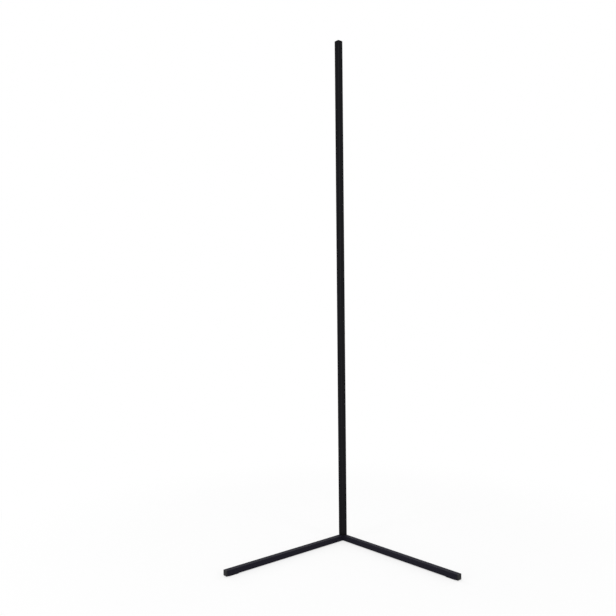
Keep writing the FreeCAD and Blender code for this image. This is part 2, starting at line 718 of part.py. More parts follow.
def leg_screws():
    """A screw up through the underside of each leg, into its spigot."""
    screws = []
    reach = f"(({HALF} + Sizes.leg_screw_inset) / sqrt(2))"
    for name, side in LEGS:
        screw = countersunk_screw(f"{name}_leg_screw", "leg_screw", Rotation())
        bind_place(screw, x=f"{side} * {reach}", y=f"-{reach}", z="Sizes.pad_thick")
        screws.append(screw)
    return group("leg_screws", screws)


# ---- covers and light strip ----

def diffuser():
    """Opal cover of the light channel, from the foot cover to the cap."""
    body, _ = prism("diffuser", cover_outline(), f"{POLE_TOP} - {COVER_FOOT}", COVER_FOOT)
    return body


def foot_cover():
    """Black cover over the control space, with the openings of the inlet and the button."""
    body, _ = prism("foot_cover", cover_outline(), "Sizes.foot_cover_length", POLE_FOOT)
    slot = plane_sketch(body, "XZ_Plane", "foot_cover_inlet_slot")
    half_length = "(Sizes.shell_length / 2 + Sizes.opening_gap)"
    half_width = "(Sizes.shell_width / 2 + Sizes.opening_gap)"
    outline(slot, *obround(half_length, half_width, f"{INLET_Z} - {POLE_FOOT}"))
    pocket(body, slot, COVER_RADIUS)
    hole = plane_sketch(body, "XZ_Plane", "foot_cover_button_hole")
    circle(hole, "0", f"{BUTTON_Z} - {POLE_FOOT}", "Sizes.button_radius + Sizes.opening_gap")
    pocket(body, hole, COVER_RADIUS)
    return body


def strip_row(label, width, depth, height, y, z):
    """A row of equal small blocks up the strip, one to a light package."""
    body = new_body(label)
    sketch = plane_sketch(body, "XZ_Plane", f"{label}_outline", offset=f"-({y})")
    half = f"({width} / 2)"
    outline(sketch, box_corners(f"-{half}", half, "0", height))
    first = pad(body, sketch, depth, reverse=True)
    step_pattern(body, first, "Z_Axis", "Sizes.led_pitch", LED_COUNT)
    bind_place(body, z=z)
    return body


def strip_lenses():
    """Eight-sided windows on the light packages."""
    body = new_body("strip_lenses")
    sketch = plane_sketch(body, "XZ_Plane", "strip_lenses_outline", offset=f"-({STRIP_Y} + Sizes.led_height)")
    outline(sketch, octagon("Sizes.lens_side"))
    first = pad(body, sketch, "Sizes.lens_height", reverse=True)
    step_pattern(body, first, "Z_Axis", "Sizes.led_pitch", LED_COUNT)
    bind_place(body, z=f"{ROW_FOOT} + Sizes.led_side / 2")
    return body


def light_strip():
    """Adhesive tape, board, light packages, their windows, and a resistor above each package."""
    half = "Sizes.strip_width / 2"
    tape = box(
        "strip_tape", "Sizes.strip_width", "Sizes.tape_thick", STRIP_LENGTH, f"-{half}", WEB_Y, STRIP_FOOT
    )
    board = box(
        "strip_board",
        "Sizes.strip_width",
        "Sizes.strip_thick",
        STRIP_LENGTH,
        f"-{half}",
        f"{WEB_Y} + Sizes.tape_thick",
        STRIP_FOOT,
    )
    leds = strip_row(
        "strip_leds",
        "Sizes.led_side",
        "Sizes.led_height",
        "Sizes.led_side",
        STRIP_Y,
        ROW_FOOT,
    )
    resistors = strip_row(
        "strip_resistors",
        "Sizes.resistor_length",
        "Sizes.resistor_height",
        "Sizes.resistor_width",
        STRIP_Y,
        f"{ROW_FOOT} + Sizes.led_side + Sizes.resistor_gap",
    )
    return [tape, board, leds, strip_lenses(), resistors]


# ---- control space at the rear foot ----

def on_board(label, width, depth, height, z, x="0"):
    """A block on the control board, centred on x and z."""
    return box(label, width, depth, height, f"{x} - {width} / 2", BOARD_Y, f"{z} - {height} / 2")


def control_board():
    """Board on the web, behind the foot cover, as long as its row of components."""
    return box(
        "control_board",
        "Sizes.board_width",
        "Sizes.board_thick",
        f"{BOARD_TOP} - {BOARD_FOOT}",
        "-Sizes.board_width / 2",
        WEB_Y,
        BOARD_FOOT,
    )


def board_chips():
    """Control chip and three driver transistors."""
    chips = [on_board("control_chip", "Sizes.chip_width", "Sizes.chip_height", "Sizes.chip_length", CHIP_Z)]
    for place in (-1, 0, 1):
        chips.append(
            on_board(
                f"driver_{place + 2}",
                "Sizes.driver_length",
                "Sizes.driver_height",
                "Sizes.driver_width",
                DRIVER_Z,
                x=f"{place} * Sizes.driver_pitch",
            )
        )
    return group("board_chips", chips)


def board_capacitor():
    """Can capacitor that stands on the board."""
    can = doc.addObject("Part::Cylinder", "board_capacitor")
    can.Label = "board_capacitor"
    can.Placement = Placement(Vector(0, 0, 0), Rotation(Vector(1, 0, 0), -90))
    bind(can, Radius="Sizes.capacitor_radius", Height="Sizes.capacitor_height")
    bind_place(can, y=BOARD_Y, z=CAPACITOR_Z)
    return can


def radio_module():
    """Radio receiver module, at the board's lower end."""
    return on_board("radio_module", "Sizes.radio_length", "Sizes.radio_height", "Sizes.radio_width", RADIO_Z)


def power_socket():
    """Upright inlet on the board: a drawn obround shell with a floor."""
    body = new_body("power_socket")
    base = plane_sketch(body, "XZ_Plane", "power_socket_floor", offset=f"-{BOARD_Y}")
    outer = obround("Sizes.shell_length / 2", "Sizes.shell_width / 2")
    outline(base, *outer)
    pad(body, base, "Sizes.shell_height", reverse=True)
    cavity = plane_sketch(
        body, "XZ_Plane", "power_socket_cavity", offset=f"-({BOARD_Y} + Sizes.shell_base)"
    )
    inner = obround(
        "(Sizes.shell_length / 2 - Sizes.shell_wall)", "(Sizes.shell_width / 2 - Sizes.shell_wall)"
    )
    outline(cavity, *inner)
    pocket(body, cavity, "Sizes.shell_height")
    bind_place(body, z=INLET_Z)
    return body


def socket_tongue():
    """Contact tongue in the middle of the inlet."""
    return box(
        "socket_tongue",
        "Sizes.tongue_thick",
        "Sizes.tongue_height",
        "Sizes.tongue_length",
        "-Sizes.tongue_thick / 2",
        f"{BOARD_Y} + Sizes.shell_base",
        f"{INLET_Z} - Sizes.tongue_length / 2",
    )


def switch_body():
    """Square push switch with a round well for its plunger."""
    body = new_body("switch_body")
    sketch = plane_sketch(body, "XZ_Plane", "switch_body_outline", offset=f"-{BOARD_Y}")
    half = "Sizes.switch_side / 2"
    outline(sketch, box_corners(f"-{half}", half, f"-{half}", half))
    pad(body, sketch, "Sizes.switch_height", reverse=True)
    well = plane_sketch(body, "XZ_Plane", "switch_body_well", offset=f"-({BOARD_Y} + Sizes.switch_floor)")
    circle(well, "0", "0", "Sizes.plunger_radius + Sizes.plunger_gap")
    pocket(body, well, "Sizes.switch_height")
    bind_place(body, z=BUTTON_Z)
    return body


PLUNGER_TOP = f"({BOARD_Y} + Sizes.switch_height + Sizes.button_travel + Sizes.plunger_stand)"
PLUNGER_LENGTH = "(Sizes.switch_height + Sizes.plunger_stand - Sizes.switch_floor - Sizes.plunger_gap)"


def switch_plunger():
    """Plunger that the button presses, free of the well's floor by more than the travel."""
    body = new_body("switch_plunger")
    sketch = plane_sketch(body, "XZ_Plane", "switch_plunger_outline", offset=f"-{PLUNGER_TOP}")
    circle(sketch, "0", "0", "Sizes.plunger_radius")
    pad(body, sketch, PLUNGER_LENGTH)
    bind_place(body, z=BUTTON_Z)
    return body


def mode_button():
    """Round button with a retaining flange, from the plunger out through the foot cover."""
    top = f"({COVER_Y} + Sizes.button_travel + Sizes.button_stand)"
    face = f"({top} - Sizes.button_edge)"
    flange_top = f"({PLUNGER_TOP} + Sizes.flange_thick)"
    body = new_body("mode_button")
    sketch = plane_sketch(body, "YZ_Plane", "mode_button_half")
    outline(
        sketch,
        [
            (PLUNGER_TOP, "0"),
            (top, "0"),
            (top, "Sizes.button_radius - Sizes.button_edge"),
            (face, "Sizes.button_radius"),
            (flange_top, "Sizes.button_radius"),
            (flange_top, "Sizes.flange_radius"),
            (PLUNGER_TOP, "Sizes.flange_radius"),
        ],
    )
    turned = body.newObject("PartDesign::Revolution", "mode_button_turned")
    turned.Profile = sketch
    axis = next(line for line in body.Origin.OriginFeatures if line.Role == "Y_Axis")
    turned.ReferenceAxis = (axis, [""])
    turned.Angle = 360
    doc.recompute()
    bind_place(body, z=BUTTON_Z)
    return body


def strip_leads():
    """Flat leads, flat on the control board, sloped over the gap, and flat on the strip's board."""
    start = f"({BOARD_TOP} - Sizes.lead_lap)"
    steps = [
        (BOARD_Y, "0"),
        (BOARD_Y, "Sizes.lead_lap"),
        (STRIP_Y, f"{STRIP_FOOT} - {start}"),
        (STRIP_Y, f"{STRIP_FOOT} + Sizes.lead_lap - {start}"),
    ]
    body = new_body("strip_leads")
    sketch = plane_sketch(body, "YZ_Plane", "strip_leads_side")
    outline(sketch, steps + [(f"{y} + Sizes.lead_thick", z) for y, z in reversed(steps)])
    first = pad(body, sketch, "Sizes.lead_width")
    step_pattern(body, first, "X_Axis", "Sizes.lead_pitch", str(LEAD_COUNT))
    bind_place(body, x=f"-({LEAD_COUNT - 1} * Sizes.lead_pitch + Sizes.lead_width) / 2", z=start)
    return body


def build():
    """Every sub-part, in the order of assembly."""
    nodes = [corner_pad(), corner_block()]
    for name, side in LEGS:
        nodes += [leg(name, side), leg_plug(name, side), leg_pad(name, side)]
    nodes.append(leg_screws())
    nodes += [pole_section(section, label) for section, label in enumerate(SECTIONS)]
    nodes += [spline("spline_lower", 1), spline("spline_upper", 2)]
    nodes += [pole_screws(), top_cap()]
    nodes += light_strip()
    nodes += [control_board(), board_chips(), board_capacitor(), radio_module()]
    nodes += [power_socket(), socket_tongue(), switch_body(), switch_plunger(), mode_button()]
    nodes += [strip_leads(), foot_cover(), diffuser()]
    return nodes


def check(nodes):
    """Stop if any object failed to build or a sub-part has no valid shape."""
    for thing in doc.Objects:
        if "Invalid" in thing.State or "Error" in thing.State:
            raise RuntimeError(f"{thing.Name} failed: {thing.State}")
    for node in nodes:
        if node.Shape.isNull() or not node.Shape.isValid():
            raise RuntimeError(f"{node.Label} has no valid shape")


sub_parts = build()
doc.recompute()
check(sub_parts)
os.makedirs("parts", exist_ok=True)
for sub_part in sub_parts:
    sub_part.Shape.exportStep(f"parts/{sub_part.Label}.step")
    print(
        f"{sub_part.Label}: {len(sub_part.Shape.Solids)} solids, "
        f"{sub_part.Shape.Volume:.1f} mm3, {sub_part.Shape.BoundBox}"
    )
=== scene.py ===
"""Corner floor lamp: fine shapes, finishes, floor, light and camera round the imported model.

Metres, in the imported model's frame: +Z up, origin on the floor under the pole, -Y the front, +Y the rear,
where the light goes. A section is an array of points in two axes, and a shape is a pair: an array of
vertices and a list of faces that index it.
"""
import json
import math

import bmesh
import bpy
import numpy as np
from bpy.props import FloatProperty, FloatVectorProperty, PointerProperty
from mathutils import Matrix, Vector
from mathutils.geometry import tessellate_polygon


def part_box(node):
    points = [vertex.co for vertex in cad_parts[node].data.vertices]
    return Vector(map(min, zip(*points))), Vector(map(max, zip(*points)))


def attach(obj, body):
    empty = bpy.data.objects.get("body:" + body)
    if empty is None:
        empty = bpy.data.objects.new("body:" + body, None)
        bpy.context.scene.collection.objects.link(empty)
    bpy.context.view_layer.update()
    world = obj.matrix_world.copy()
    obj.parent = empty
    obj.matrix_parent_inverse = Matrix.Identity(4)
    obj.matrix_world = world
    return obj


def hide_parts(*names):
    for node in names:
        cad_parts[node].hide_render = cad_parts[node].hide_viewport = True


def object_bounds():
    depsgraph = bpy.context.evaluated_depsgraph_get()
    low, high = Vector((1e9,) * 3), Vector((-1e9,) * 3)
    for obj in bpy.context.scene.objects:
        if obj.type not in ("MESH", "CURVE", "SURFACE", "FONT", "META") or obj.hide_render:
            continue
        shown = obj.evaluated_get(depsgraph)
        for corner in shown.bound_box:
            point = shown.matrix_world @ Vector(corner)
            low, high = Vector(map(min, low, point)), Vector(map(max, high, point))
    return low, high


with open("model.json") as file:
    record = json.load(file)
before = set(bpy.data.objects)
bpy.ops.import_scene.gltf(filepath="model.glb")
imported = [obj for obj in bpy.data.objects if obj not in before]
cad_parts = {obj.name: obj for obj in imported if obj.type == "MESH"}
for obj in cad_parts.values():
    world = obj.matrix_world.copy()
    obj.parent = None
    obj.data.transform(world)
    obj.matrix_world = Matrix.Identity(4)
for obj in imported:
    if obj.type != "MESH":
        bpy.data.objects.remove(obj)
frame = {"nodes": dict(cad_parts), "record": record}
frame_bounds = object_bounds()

bl_info = {
    "name": "Corner floor lamp",
    "version": (1, 0, 0),
    "blender": (4, 5, 0),
    "location": "3D View > Sidebar > Lamp",
    "description": "Fine shapes and finishes of a corner floor lamp on its packed model",
    "category": "Object",
}

MM = 0.001
ROOT2 = math.sqrt(2)
CORNER = ROOT2 - 1  # how far a square's rounded corner draws back along its diagonal, per unit of radius
POLE_NODES = ("pole_lower", "pole_middle", "pole_upper")
LEGS = (("left", -1), ("right", 1))
ROUND_STEPS = 6
SMOOTH_ANGLE = math.radians(32)
MERGE = 1e-7
DRILL_START = 0.5 * MM  # how far outside the surface a drill starts
DRILL_PAST = 1 * MM  # how far past the far side it goes
DRILL_STEPS = 48
DISC_STEPS = 64
PAD_STEPS = 72
EDGE_STEPS = 9
DISH_STEPS = 12
SHARP = 0.01 * MM  # radius at a corner that stays sharp


def linear(hex_colour):
    """An sRGB hex colour as linear RGBA: below 0.04045 a straight line, above it a power of 2.4."""
    srgb = np.array([int(hex_colour[i:i + 2], 16) for i in (1, 3, 5)]) / 255
    rgb = np.where(srgb <= 0.04045, srgb / 12.92, ((srgb + 0.055) / 1.055) ** 2.4)
    return (*rgb.tolist(), 1.0)


# ---- sizes and colours that a user would change ----

def length(name, description, millimetres):
    """A length property, given in millimetres."""
    return FloatProperty(
        name=name, description=description, default=millimetres * MM, min=0, unit="LENGTH", precision=5
    )


def colour(name, description, hex_colour):
    """A colour property, given as an sRGB hex value."""
    return FloatVectorProperty(
        name=name, description=description, default=linear(hex_colour), size=4, min=0, max=1, subtype="COLOR"
    )


class LampSizes(bpy.types.PropertyGroup):
    """Sizes of the lamp's sections that its boxes in the frame don't give"""
    pole_wall: length("Pole wall", "Wall of the extrusion's two arms", 1.4)
    arris_round: length("Arris radius", "Radius of the pole's front edge", 1.5)
    tip_round: length("Arm tip radius", "Radius of the outer corner at each arm's tip", 1.0)
    chamber_leg: length("Chamber side", "Short side of the pole's triangular chamber", 8.4)
    web_thick: length("Web", "Thickness of the web behind the chamber", 1.2)
    lip_height: length("Lip height", "Height of a snap lip above the arm's inner face", 1.0)
    lip_wall: length("Lip wall", "Thickness of a snap lip's root", 0.7)
    lip_barb: length("Lip barb", "Reach and thickness of a snap lip's barb", 0.4)
    cover_wall: length("Cover wall", "Wall of the opal cover", 1.2)
    cover_stem: length("Cover stem", "Thickness of the cover's snap stems", 0.9)
    snap_gap: length("Snap clearance", "Clearance of the cover under the snap lips", 0.1)
    slide_gap: length("Chamber clearance", "Clearance of a plug in the chamber", 0.15)
    die_round: length("Die radius", "Radius that a die leaves at a section's sharp corners", 0.15)
    saw_round: length("Sawn edge", "Round of a tumbled saw cut", 0.12)
    seam_round: length("Seam edge", "Round of a moulded head where it meets its tube", 0.25)
    leg_wall: length("Leg wall", "Wall of a leg's tube", 1.2)
    leg_round: length("Leg corner", "Outer corner radius of a leg's tube", 0.8)
    cap_round: length("Cap edge", "Round of the top cap's upper edge", 0.45)
    cap_crown: length("Cap crown", "Height of the crown on the top cap's face", 0.15)
    block_round: length("Block edge", "Round of the corner block's cast edges", 0.4)
    spigot_reach: length("Spigot", "Length of the corner block's spigot in a leg", 35)
    spigot_gap: length("Spigot clearance", "Clearance round a spigot or a plug in a leg", 0.2)
    spigot_round: length("Spigot corner", "Corner radius of the spigots and of the plugs' cores", 0.3)
    spigot_bore: length("Spigot bore", "Depth of the screw's bore in a spigot", 8.8)
    tenon_bore: length("Tenon bore", "Depth of the screws' bores in the tenon", 3.8)
    spigot_lead: length("Spigot lead-in", "Taper at a spigot's end", 1.5)
    plug_head: length("Plug head", "Thickness of a leg plug's head", 2.5)
    plug_round: length("Plug edge", "Round of a leg plug's outer edge", 0.85)
    plug_crown: length("Plug crown", "Height of the crown on a leg plug's face", 0.15)
    plug_depth: length("Plug depth", "Length of a plug inside its leg", 13)
    plug_core: length("Plug core", "Side of a plug's core between its fins", 8.6)
    fin_thick: length("Fin thickness", "Thickness of a plug's fin", 1.2)
    fin_pitch: length("Fin pitch", "Distance from one plug fin to the next", 3.2)
    leg_pad_width: length("Leg pad width", "Width of a leg pad", 11)
    pad_round: length("Pad edge", "Round of a rubber pad's edges", 0.35)
    leg_pad_round: length("Leg pad corner", "Corner radius of a leg pad in plan", 2.0)
    web_hole: length("Web hole", "Diameter of the screw holes in the web", 3.1)
    web_sink: length("Web countersink", "Diameter of the countersinks in the web", 5.1)
    web_screw_inset: length("Web screw inset", "Distance from a pole joint to its screw", 12)
    web_screw_pitch: length("Web screw pitch", "Distance from that screw to the tenon's second", 16)
    leg_hole: length("Leg hole", "Diameter of the screw hole in a leg", 4.1)
    leg_sink: length("Leg countersink", "Diameter of the countersink in a leg", 6.3)
    leg_screw_inset: length("Leg screw inset", "Distance from the block to a leg's screw", 18)
    opening_gap: length("Opening clearance", "Clearance of inlet and button in the foot cover", 0.2)
    button_radius: length("Button radius", "Radius of the button's face", 3.0)
    flange_thick: length("Button flange", "Thickness of the flange that keeps the button in", 0.7)
    button_round: length("Button edge", "Round of the button's face", 0.5)
    button_dish: length("Button dish", "Depth of the dish in the button's face", 0.3)
    shell_wall: length("Inlet shell", "Sheet thickness of the inlet's shell", 0.3)
    shell_base: length("Inlet floor", "Floor of the inlet inside its shell", 1.2)
    tongue_round: length("Tongue corner", "Corner radius of the inlet's tongue", 0.1)
    tongue_edge: length("Tongue edge", "Round of the tongue's tip", 0.15)
    contact_pitch: length("Contact pitch", "Distance from one contact of the inlet to the next", 0.5)
    contact_width: length("Contact width", "Width of one contact", 0.25)
    contact_lift: length("Contact lift", "Height of a contact over the tongue", 0.03)
    contact_inset: length("Contact inset", "Distance from the tongue's tip to its contacts", 0.5)


class LampColours(bpy.types.PropertyGroup):
    """Colours of the lamp's finishes and of the stage"""
    anodised: colour("Anodised black", "Dyed oxide film of the pole", "#1e1e20")
    powder: colour("Powder coat black", "Coat of the legs and the corner block", "#1a1922")
    plastic: colour("Plastic black", "Moulded caps, plugs, foot cover and button", "#1a1a1c")
    rubber: colour("Rubber black", "Pads under the lamp", "#19191a")
    opal: colour("Opal white", "Cover of the light channel", "#e8e6e2")
    floor: colour("Floor white", "Floor under the lamp", "#f4f4f4")


# ---- sections ----

def unit(vectors):
    """Vectors of length one."""
    return vectors / np.linalg.norm(vectors, axis=-1, keepdims=True)


def turned(points):
    """A section's points, turned by 45 degrees from its own axes to X and Y."""
    cos, sin = math.cos(math.pi / 4), math.sin(math.pi / 4)
    return points @ np.array([[cos, sin], [-sin, cos]])


def rounded_loop(corners, radii, steps=ROUND_STEPS):
    """A closed outline: a polygon whose corners are tangent arcs.

    At a corner P, with unit directions u and v to its neighbours and t half the angle between them, the
    arc starts at P + u r / tan t, ends at P + v r / tan t and has its centre at P + w r / sin t, where w
    is the unit direction between u and v. Its radius turns in equal steps from the start to the end.
    """
    corners = np.asarray(corners, float)
    radii = np.broadcast_to(np.asarray(radii, float), len(corners))[:, None]
    before = unit(np.roll(corners, 1, axis=0) - corners)
    after = unit(np.roll(corners, -1, axis=0) - corners)
    half = np.arccos(np.clip((before * after).sum(1), -1, 1))[:, None] / 2
    centre = corners + unit(before + after) * radii / np.sin(half)
    start = corners + before * radii / np.tan(half) - centre
    end = corners + after * radii / np.tan(half) - centre
    cross = start[:, 0] * end[:, 1] - start[:, 1] * end[:, 0]
    swing = np.arctan2(cross, (start * end).sum(1))[:, None] * np.linspace(0, 1, steps)
    across = np.cos(swing) * start[:, :1] - np.sin(swing) * start[:, 1:]
    along = np.sin(swing) * start[:, :1] + np.cos(swing) * start[:, 1:]
    return (centre[:, None] + np.stack([across, along], axis=-1)).reshape(-1, 2)


def arc(centre, radius, start, end, steps):
    """Points on a circle from one angle to another."""
    angles = np.linspace(start, end, steps)
    return np.asarray(centre) + radius * np.stack([np.cos(angles), np.sin(angles)], axis=-1)


def mirrored_arms(arm):
    """One arm's points, in order, and then the other arm's, which mirror them about a = b."""
    arm = np.asarray(arm)
    return np.concatenate([arm, arm[::-1, ::-1]])


def inset(loop, distance):
    """A closed outline drawn in by a distance.

    Each point moves along the sum of its two edges' inward unit normals m and n, by the distance over
    1 + m.n, which keeps every edge parallel to itself.
    """
    edges = unit(np.roll(loop, -1, axis=0) - loop)
    normals = np.stack([-edges[:, 1], edges[:, 0]], axis=-1)
    last = np.roll(normals, 1, axis=0)
    return loop + (normals + last) * distance / (1 + (normals * last).sum(1))[:, None]


def pole_half(sizes):
    """Half the side of the pole's square envelope, from the node's reach across its two arms."""
    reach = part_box("pole_lower")[1].x
    return (reach + sizes.tip_round * CORNER) / ROOT2


def apex(sizes):
    """Place of the arms' inner faces, along either of the section's axes."""
    return sizes.pole_wall - pole_half(sizes)


def extrusion_section(sizes):
    """Outline and chamber of the pole: two arms at a right angle, snap lips and the web between them."""
    half, inner = pole_half(sizes), apex(sizes)
    lip_top = inner + sizes.lip_height
    lip_root = half - sizes.lip_wall
    barb_end = lip_root - sizes.lip_barb
    barb_under = lip_top - sizes.lip_barb
    web = inner + sizes.chamber_leg + sizes.web_thick * ROOT2
    arm = [
        (half, -half), (half, lip_top), (barb_end, lip_top), (barb_end, barb_under),
        (lip_root, barb_under), (lip_root, inner), (web, inner),
    ]
    radii = [sizes.tip_round] + [sizes.die_round] * 6
    corners = np.concatenate([[(-half, -half)], mirrored_arms(arm)])
    outline = rounded_loop(corners, [sizes.arris_round, *radii, *radii[::-1]])
    return turned(outline), turned(chamber_section(sizes))


def chamber_section(sizes, gap=0.0):
    """The pole's triangular chamber, or what slides in it with a gap on all sides."""
    near = apex(sizes) + gap
    far = apex(sizes) + sizes.chamber_leg - gap * (1 + ROOT2)
    return rounded_loop([(near, near), (far, near), (near, far)], sizes.die_round)


def chamber_plug(sizes):
    """Section of what slides in the chamber."""
    return turned(chamber_section(sizes, sizes.slide_gap))


def plan_section(sizes, steps=40):
    """The pole's whole outline from above, covers in place: two flat sides and a quarter round."""
    half, inner = pole_half(sizes), apex(sizes)
    corners = [(inner, half), (-half, half), (-half, -half), (half, -half), (half, inner)]
    flats = rounded_loop(corners, [SHARP, sizes.tip_round, sizes.arris_round, sizes.tip_round, SHARP])
    quarter = arc((inner, inner), half - inner, 0, math.pi / 2, steps)
    return turned(np.concatenate([flats[ROUND_STEPS:-ROUND_STEPS], quarter]))


def cover_section(sizes, steps=48):
    """Section of the snap-in cover: a quarter ring, and two stems whose toes hook under the lips."""
    half, inner = pole_half(sizes), apex(sizes)
    outer_radius = half - inner
    inner_radius = outer_radius - sizes.cover_wall
    ring_end = sizes.lip_height + sizes.snap_gap
    toe_top = inner + sizes.lip_height - sizes.lip_barb - sizes.snap_gap
    toe_tip = half - sizes.lip_wall - sizes.snap_gap
    stem_out = toe_tip - sizes.lip_barb
    stem_in = stem_out - sizes.cover_stem
    sole = inner + sizes.snap_gap
    stem = rounded_loop(
        [(stem_in, inner), (stem_in, sole), (toe_tip, sole), (toe_tip, toe_top), (stem_out, toe_top),
         (stem_out, inner + ring_end)],
        [SHARP, *[sizes.snap_gap] * 4, SHARP],
        steps=3,
    )[3:-3]
    end = math.asin(ring_end / outer_radius)
    inner_end = math.acos((stem_in - inner) / inner_radius)
    outer = arc((inner, inner), outer_radius, end, math.pi / 2 - end, steps)
    hollow = arc((inner, inner), inner_radius, math.pi / 2 - inner_end, inner_end, steps)
    root = [(stem_out, inner + ring_end)]
    return turned(np.concatenate([stem, root, outer, np.flip(root), stem[::-1, ::-1], hollow]))


# ---- shapes ----

def join(*shapes):
    """Several shapes as one."""
    starts = np.cumsum([0] + [len(vertices) for vertices, _ in shapes])
    faces = [
        [index + int(start) for index in face] for start, (_, part) in zip(starts, shapes) for face in part
    ]
    return np.concatenate([vertices for vertices, _ in shapes]), faces


def grid_faces(rows, columns):
    """Quads of a grid whose points are numbered row by row, each row closed on itself."""
    row, column = np.meshgrid(np.arange(rows - 1), np.arange(columns), indexing="ij")
    here, after = row * columns, (column + 1) % columns
    corners = [here + column, here + after, here + columns + after, here + columns + column]
    return np.stack(corners, axis=-1).reshape(-1, 4)


def stations(low, high, low_round, high_round, steps=ROUND_STEPS):
    """Places along a bar and how far its section is drawn in there, so that both ends are round.

    At an end of radius r the place runs as r (1 - cos t) and the inset as r (1 - sin t), for t from 0 to
    a quarter turn.
    """
    turn = np.linspace(0, math.pi / 2, steps)
    shift, drawn = 1 - np.cos(turn), 1 - np.sin(turn)
    places = np.concatenate([low + low_round * shift, high - high_round * shift[::-1]])
    return places, np.concatenate([low_round * drawn, high_round * drawn[::-1]])


def level(loop, place):
    """A section's loop as points at a place along the third axis."""
    return np.column_stack([loop, np.full(len(loop), place)])


def end_face(place, *loops):
    """Triangles over an outline, less the hollows that the further loops bound."""
    triangles = tessellate_polygon([[Vector((*point, 0)) for point in loop] for loop in loops])
    return level(np.concatenate(loops), place), [list(triangle) for triangle in triangles]


def skin(rings, places, closed=(True, True)):
    """A surface through loops of as many points each, closed by flat faces at its ends if asked."""
    points = np.stack([level(ring, place) for ring, place in zip(rings, places)])
    shapes = [(points.reshape(-1, 3), grid_faces(len(points), len(rings[0])).tolist())]
    for ring, place, wanted in ((rings[0], places[0], closed[0]), (rings[-1], places[-1], closed[1])):
        if wanted:
            shapes.append(end_face(place, ring))
    return join(*shapes)


def bar(section, low, high, low_round=0.0, high_round=0.0, hollow=None):
    """A bar of one section with round end edges, solid or with one hollow right through.

    The side is a grid: the section, drawn in as the stations say, at each place along the third axis.
    """
    places, drawn = stations(low, high, low_round, high_round)
    rings = [inset(section, distance) for distance in drawn]
    if hollow is None:
        return skin(rings, places)
    open_ends = (False, False)
    ends = [end_face(low, rings[0], hollow), end_face(high, rings[-1], hollow)]
    return join(skin(rings, places, open_ends), skin([hollow, hollow], [low, high], open_ends), *ends)


def crowned_bar(section, low, high, edge, crown, low_round=0.0, rings=6):
    """A bar whose far end has a round edge and a low crown.

    Past the round edge the section shrinks towards its middle by a share s, and the face rises by the
    crown times 1 - (1 - s) squared, so that it is level at the middle.
    """
    places, drawn = stations(low, high - crown, low_round, edge)
    side = [inset(section, distance) for distance in drawn]
    middle = side[-1].mean(axis=0)
    shares = np.linspace(0, 1, rings + 1)[1:]
    face = [middle + (side[-1] - middle) * (1 - share) for share in shares]
    rise = high - crown + crown * (1 - (1 - shares) ** 2)
    return skin(side + face, [*places, *rise], closed=(True, False))


def rectangle(width, height, radius):
    """A rectangular section with round corners."""
    corners = np.array([(-1, -1), (1, -1), (1, 1), (-1, 1)]) * (width / 2, height / 2)
    return rounded_loop(corners, radius)


def square(side, radius):
    """A square section with round corners."""
    return rectangle(side, side, radius)


def obround(width, height, steps=24):
    """A slot that stands upright: two half circles of its width, joined by straight sides."""
    radius = width / 2
    rise = height / 2 - radius
    upper = arc((0, rise), radius, 0, math.pi, steps)
    lower = arc((0, -rise), radius, math.pi, 2 * math.pi, steps)
    return np.concatenate([upper, lower])


def disc(radius, steps):
    """A round section."""
    return arc((0, 0), radius, 0, 2 * math.pi, steps + 1)[:-1]


def lathe(profile, steps=DISC_STEPS):
    """A profile of radius and height, carried once round the third axis."""
    profile = np.asarray(profile, float)
    angles = np.linspace(0, 2 * math.pi, steps, endpoint=False)
    across = profile[:, :1] * np.cos(angles)
    along = profile[:, :1] * np.sin(angles)
    points = np.stack([across, along, np.broadcast_to(profile[:, 1:], across.shape)], axis=-1)
    return points.reshape(-1, 3), grid_faces(len(profile), steps).tolist()


def placed(shape, origin, first, second, third):
    """A shape whose own three axes are laid along three unit directions from an origin."""
    vertices, faces = shape
    return vertices @ np.array([first, second, third], float) + np.asarray(origin, float), faces


def leg_axes(side):
    """Directions of a leg: across, up and outward."""
    outward = np.array([side, -1, 0]) / ROOT2
    up = np.array([0, 0, 1.0])
    return np.cross(up, outward), up, outward


def to_mesh(name, shape):
    """A mesh of a shape, its doubles merged and its faces turned outwards."""
    vertices, faces = shape
    mesh = bpy.data.meshes.new(name)
    mesh.from_pydata(vertices.tolist(), [], faces)
    work = bmesh.new()
    work.from_mesh(mesh)
    bmesh.ops.remove_doubles(work, verts=work.verts, dist=MERGE)
    bmesh.ops.dissolve_degenerate(work, edges=work.edges, dist=MERGE)
    bmesh.ops.recalc_face_normals(work, faces=work.faces)
    work.to_mesh(mesh)
    work.free()
    return mesh


def add_object(name, data):
    """An object that holds some data, linked to the scene."""
    made = bpy.data.objects.new(name, data)
    bpy.context.scene.collection.objects.link(made)
    return made


def cut_away(shape, *cutters):
    """A shape less closed cutters."""
    blank = add_object("blank", to_mesh("blank", shape))
    tool = add_object("tool", to_mesh("tool", join(*cutters)))
    cut = blank.modifiers.new("cut", "BOOLEAN")
    cut.object = tool
    cut.operation = "DIFFERENCE"
    cut.solver = "EXACT"
    depsgraph = bpy.context.evaluated_depsgraph_get()
    mesh = bpy.data.meshes.new_from_object(blank.evaluated_get(depsgraph))
    vertices = np.empty(len(mesh.vertices) * 3)
    mesh.vertices.foreach_get("co", vertices)
    faces = [list(face.vertices) for face in mesh.polygons]
    for thing in (blank, tool):
        bpy.data.objects.remove(thing)
    return vertices.reshape(-1, 3), faces


def drill(hole, depth, sink=0.0):
    """What a drill removes: a hole, after a 45 degree countersink if its diameter is given."""
    mouth = [(hole / 2, -DRILL_START)]
    if sink:
        mouth = [(sink / 2 + DRILL_START, -DRILL_START), (hole / 2, (sink - hole) / 2)]
    return lathe([(0, -DRILL_START), *mouth, (hole / 2, depth), (0, depth)], DRILL_STEPS)


# ---- pieces ----

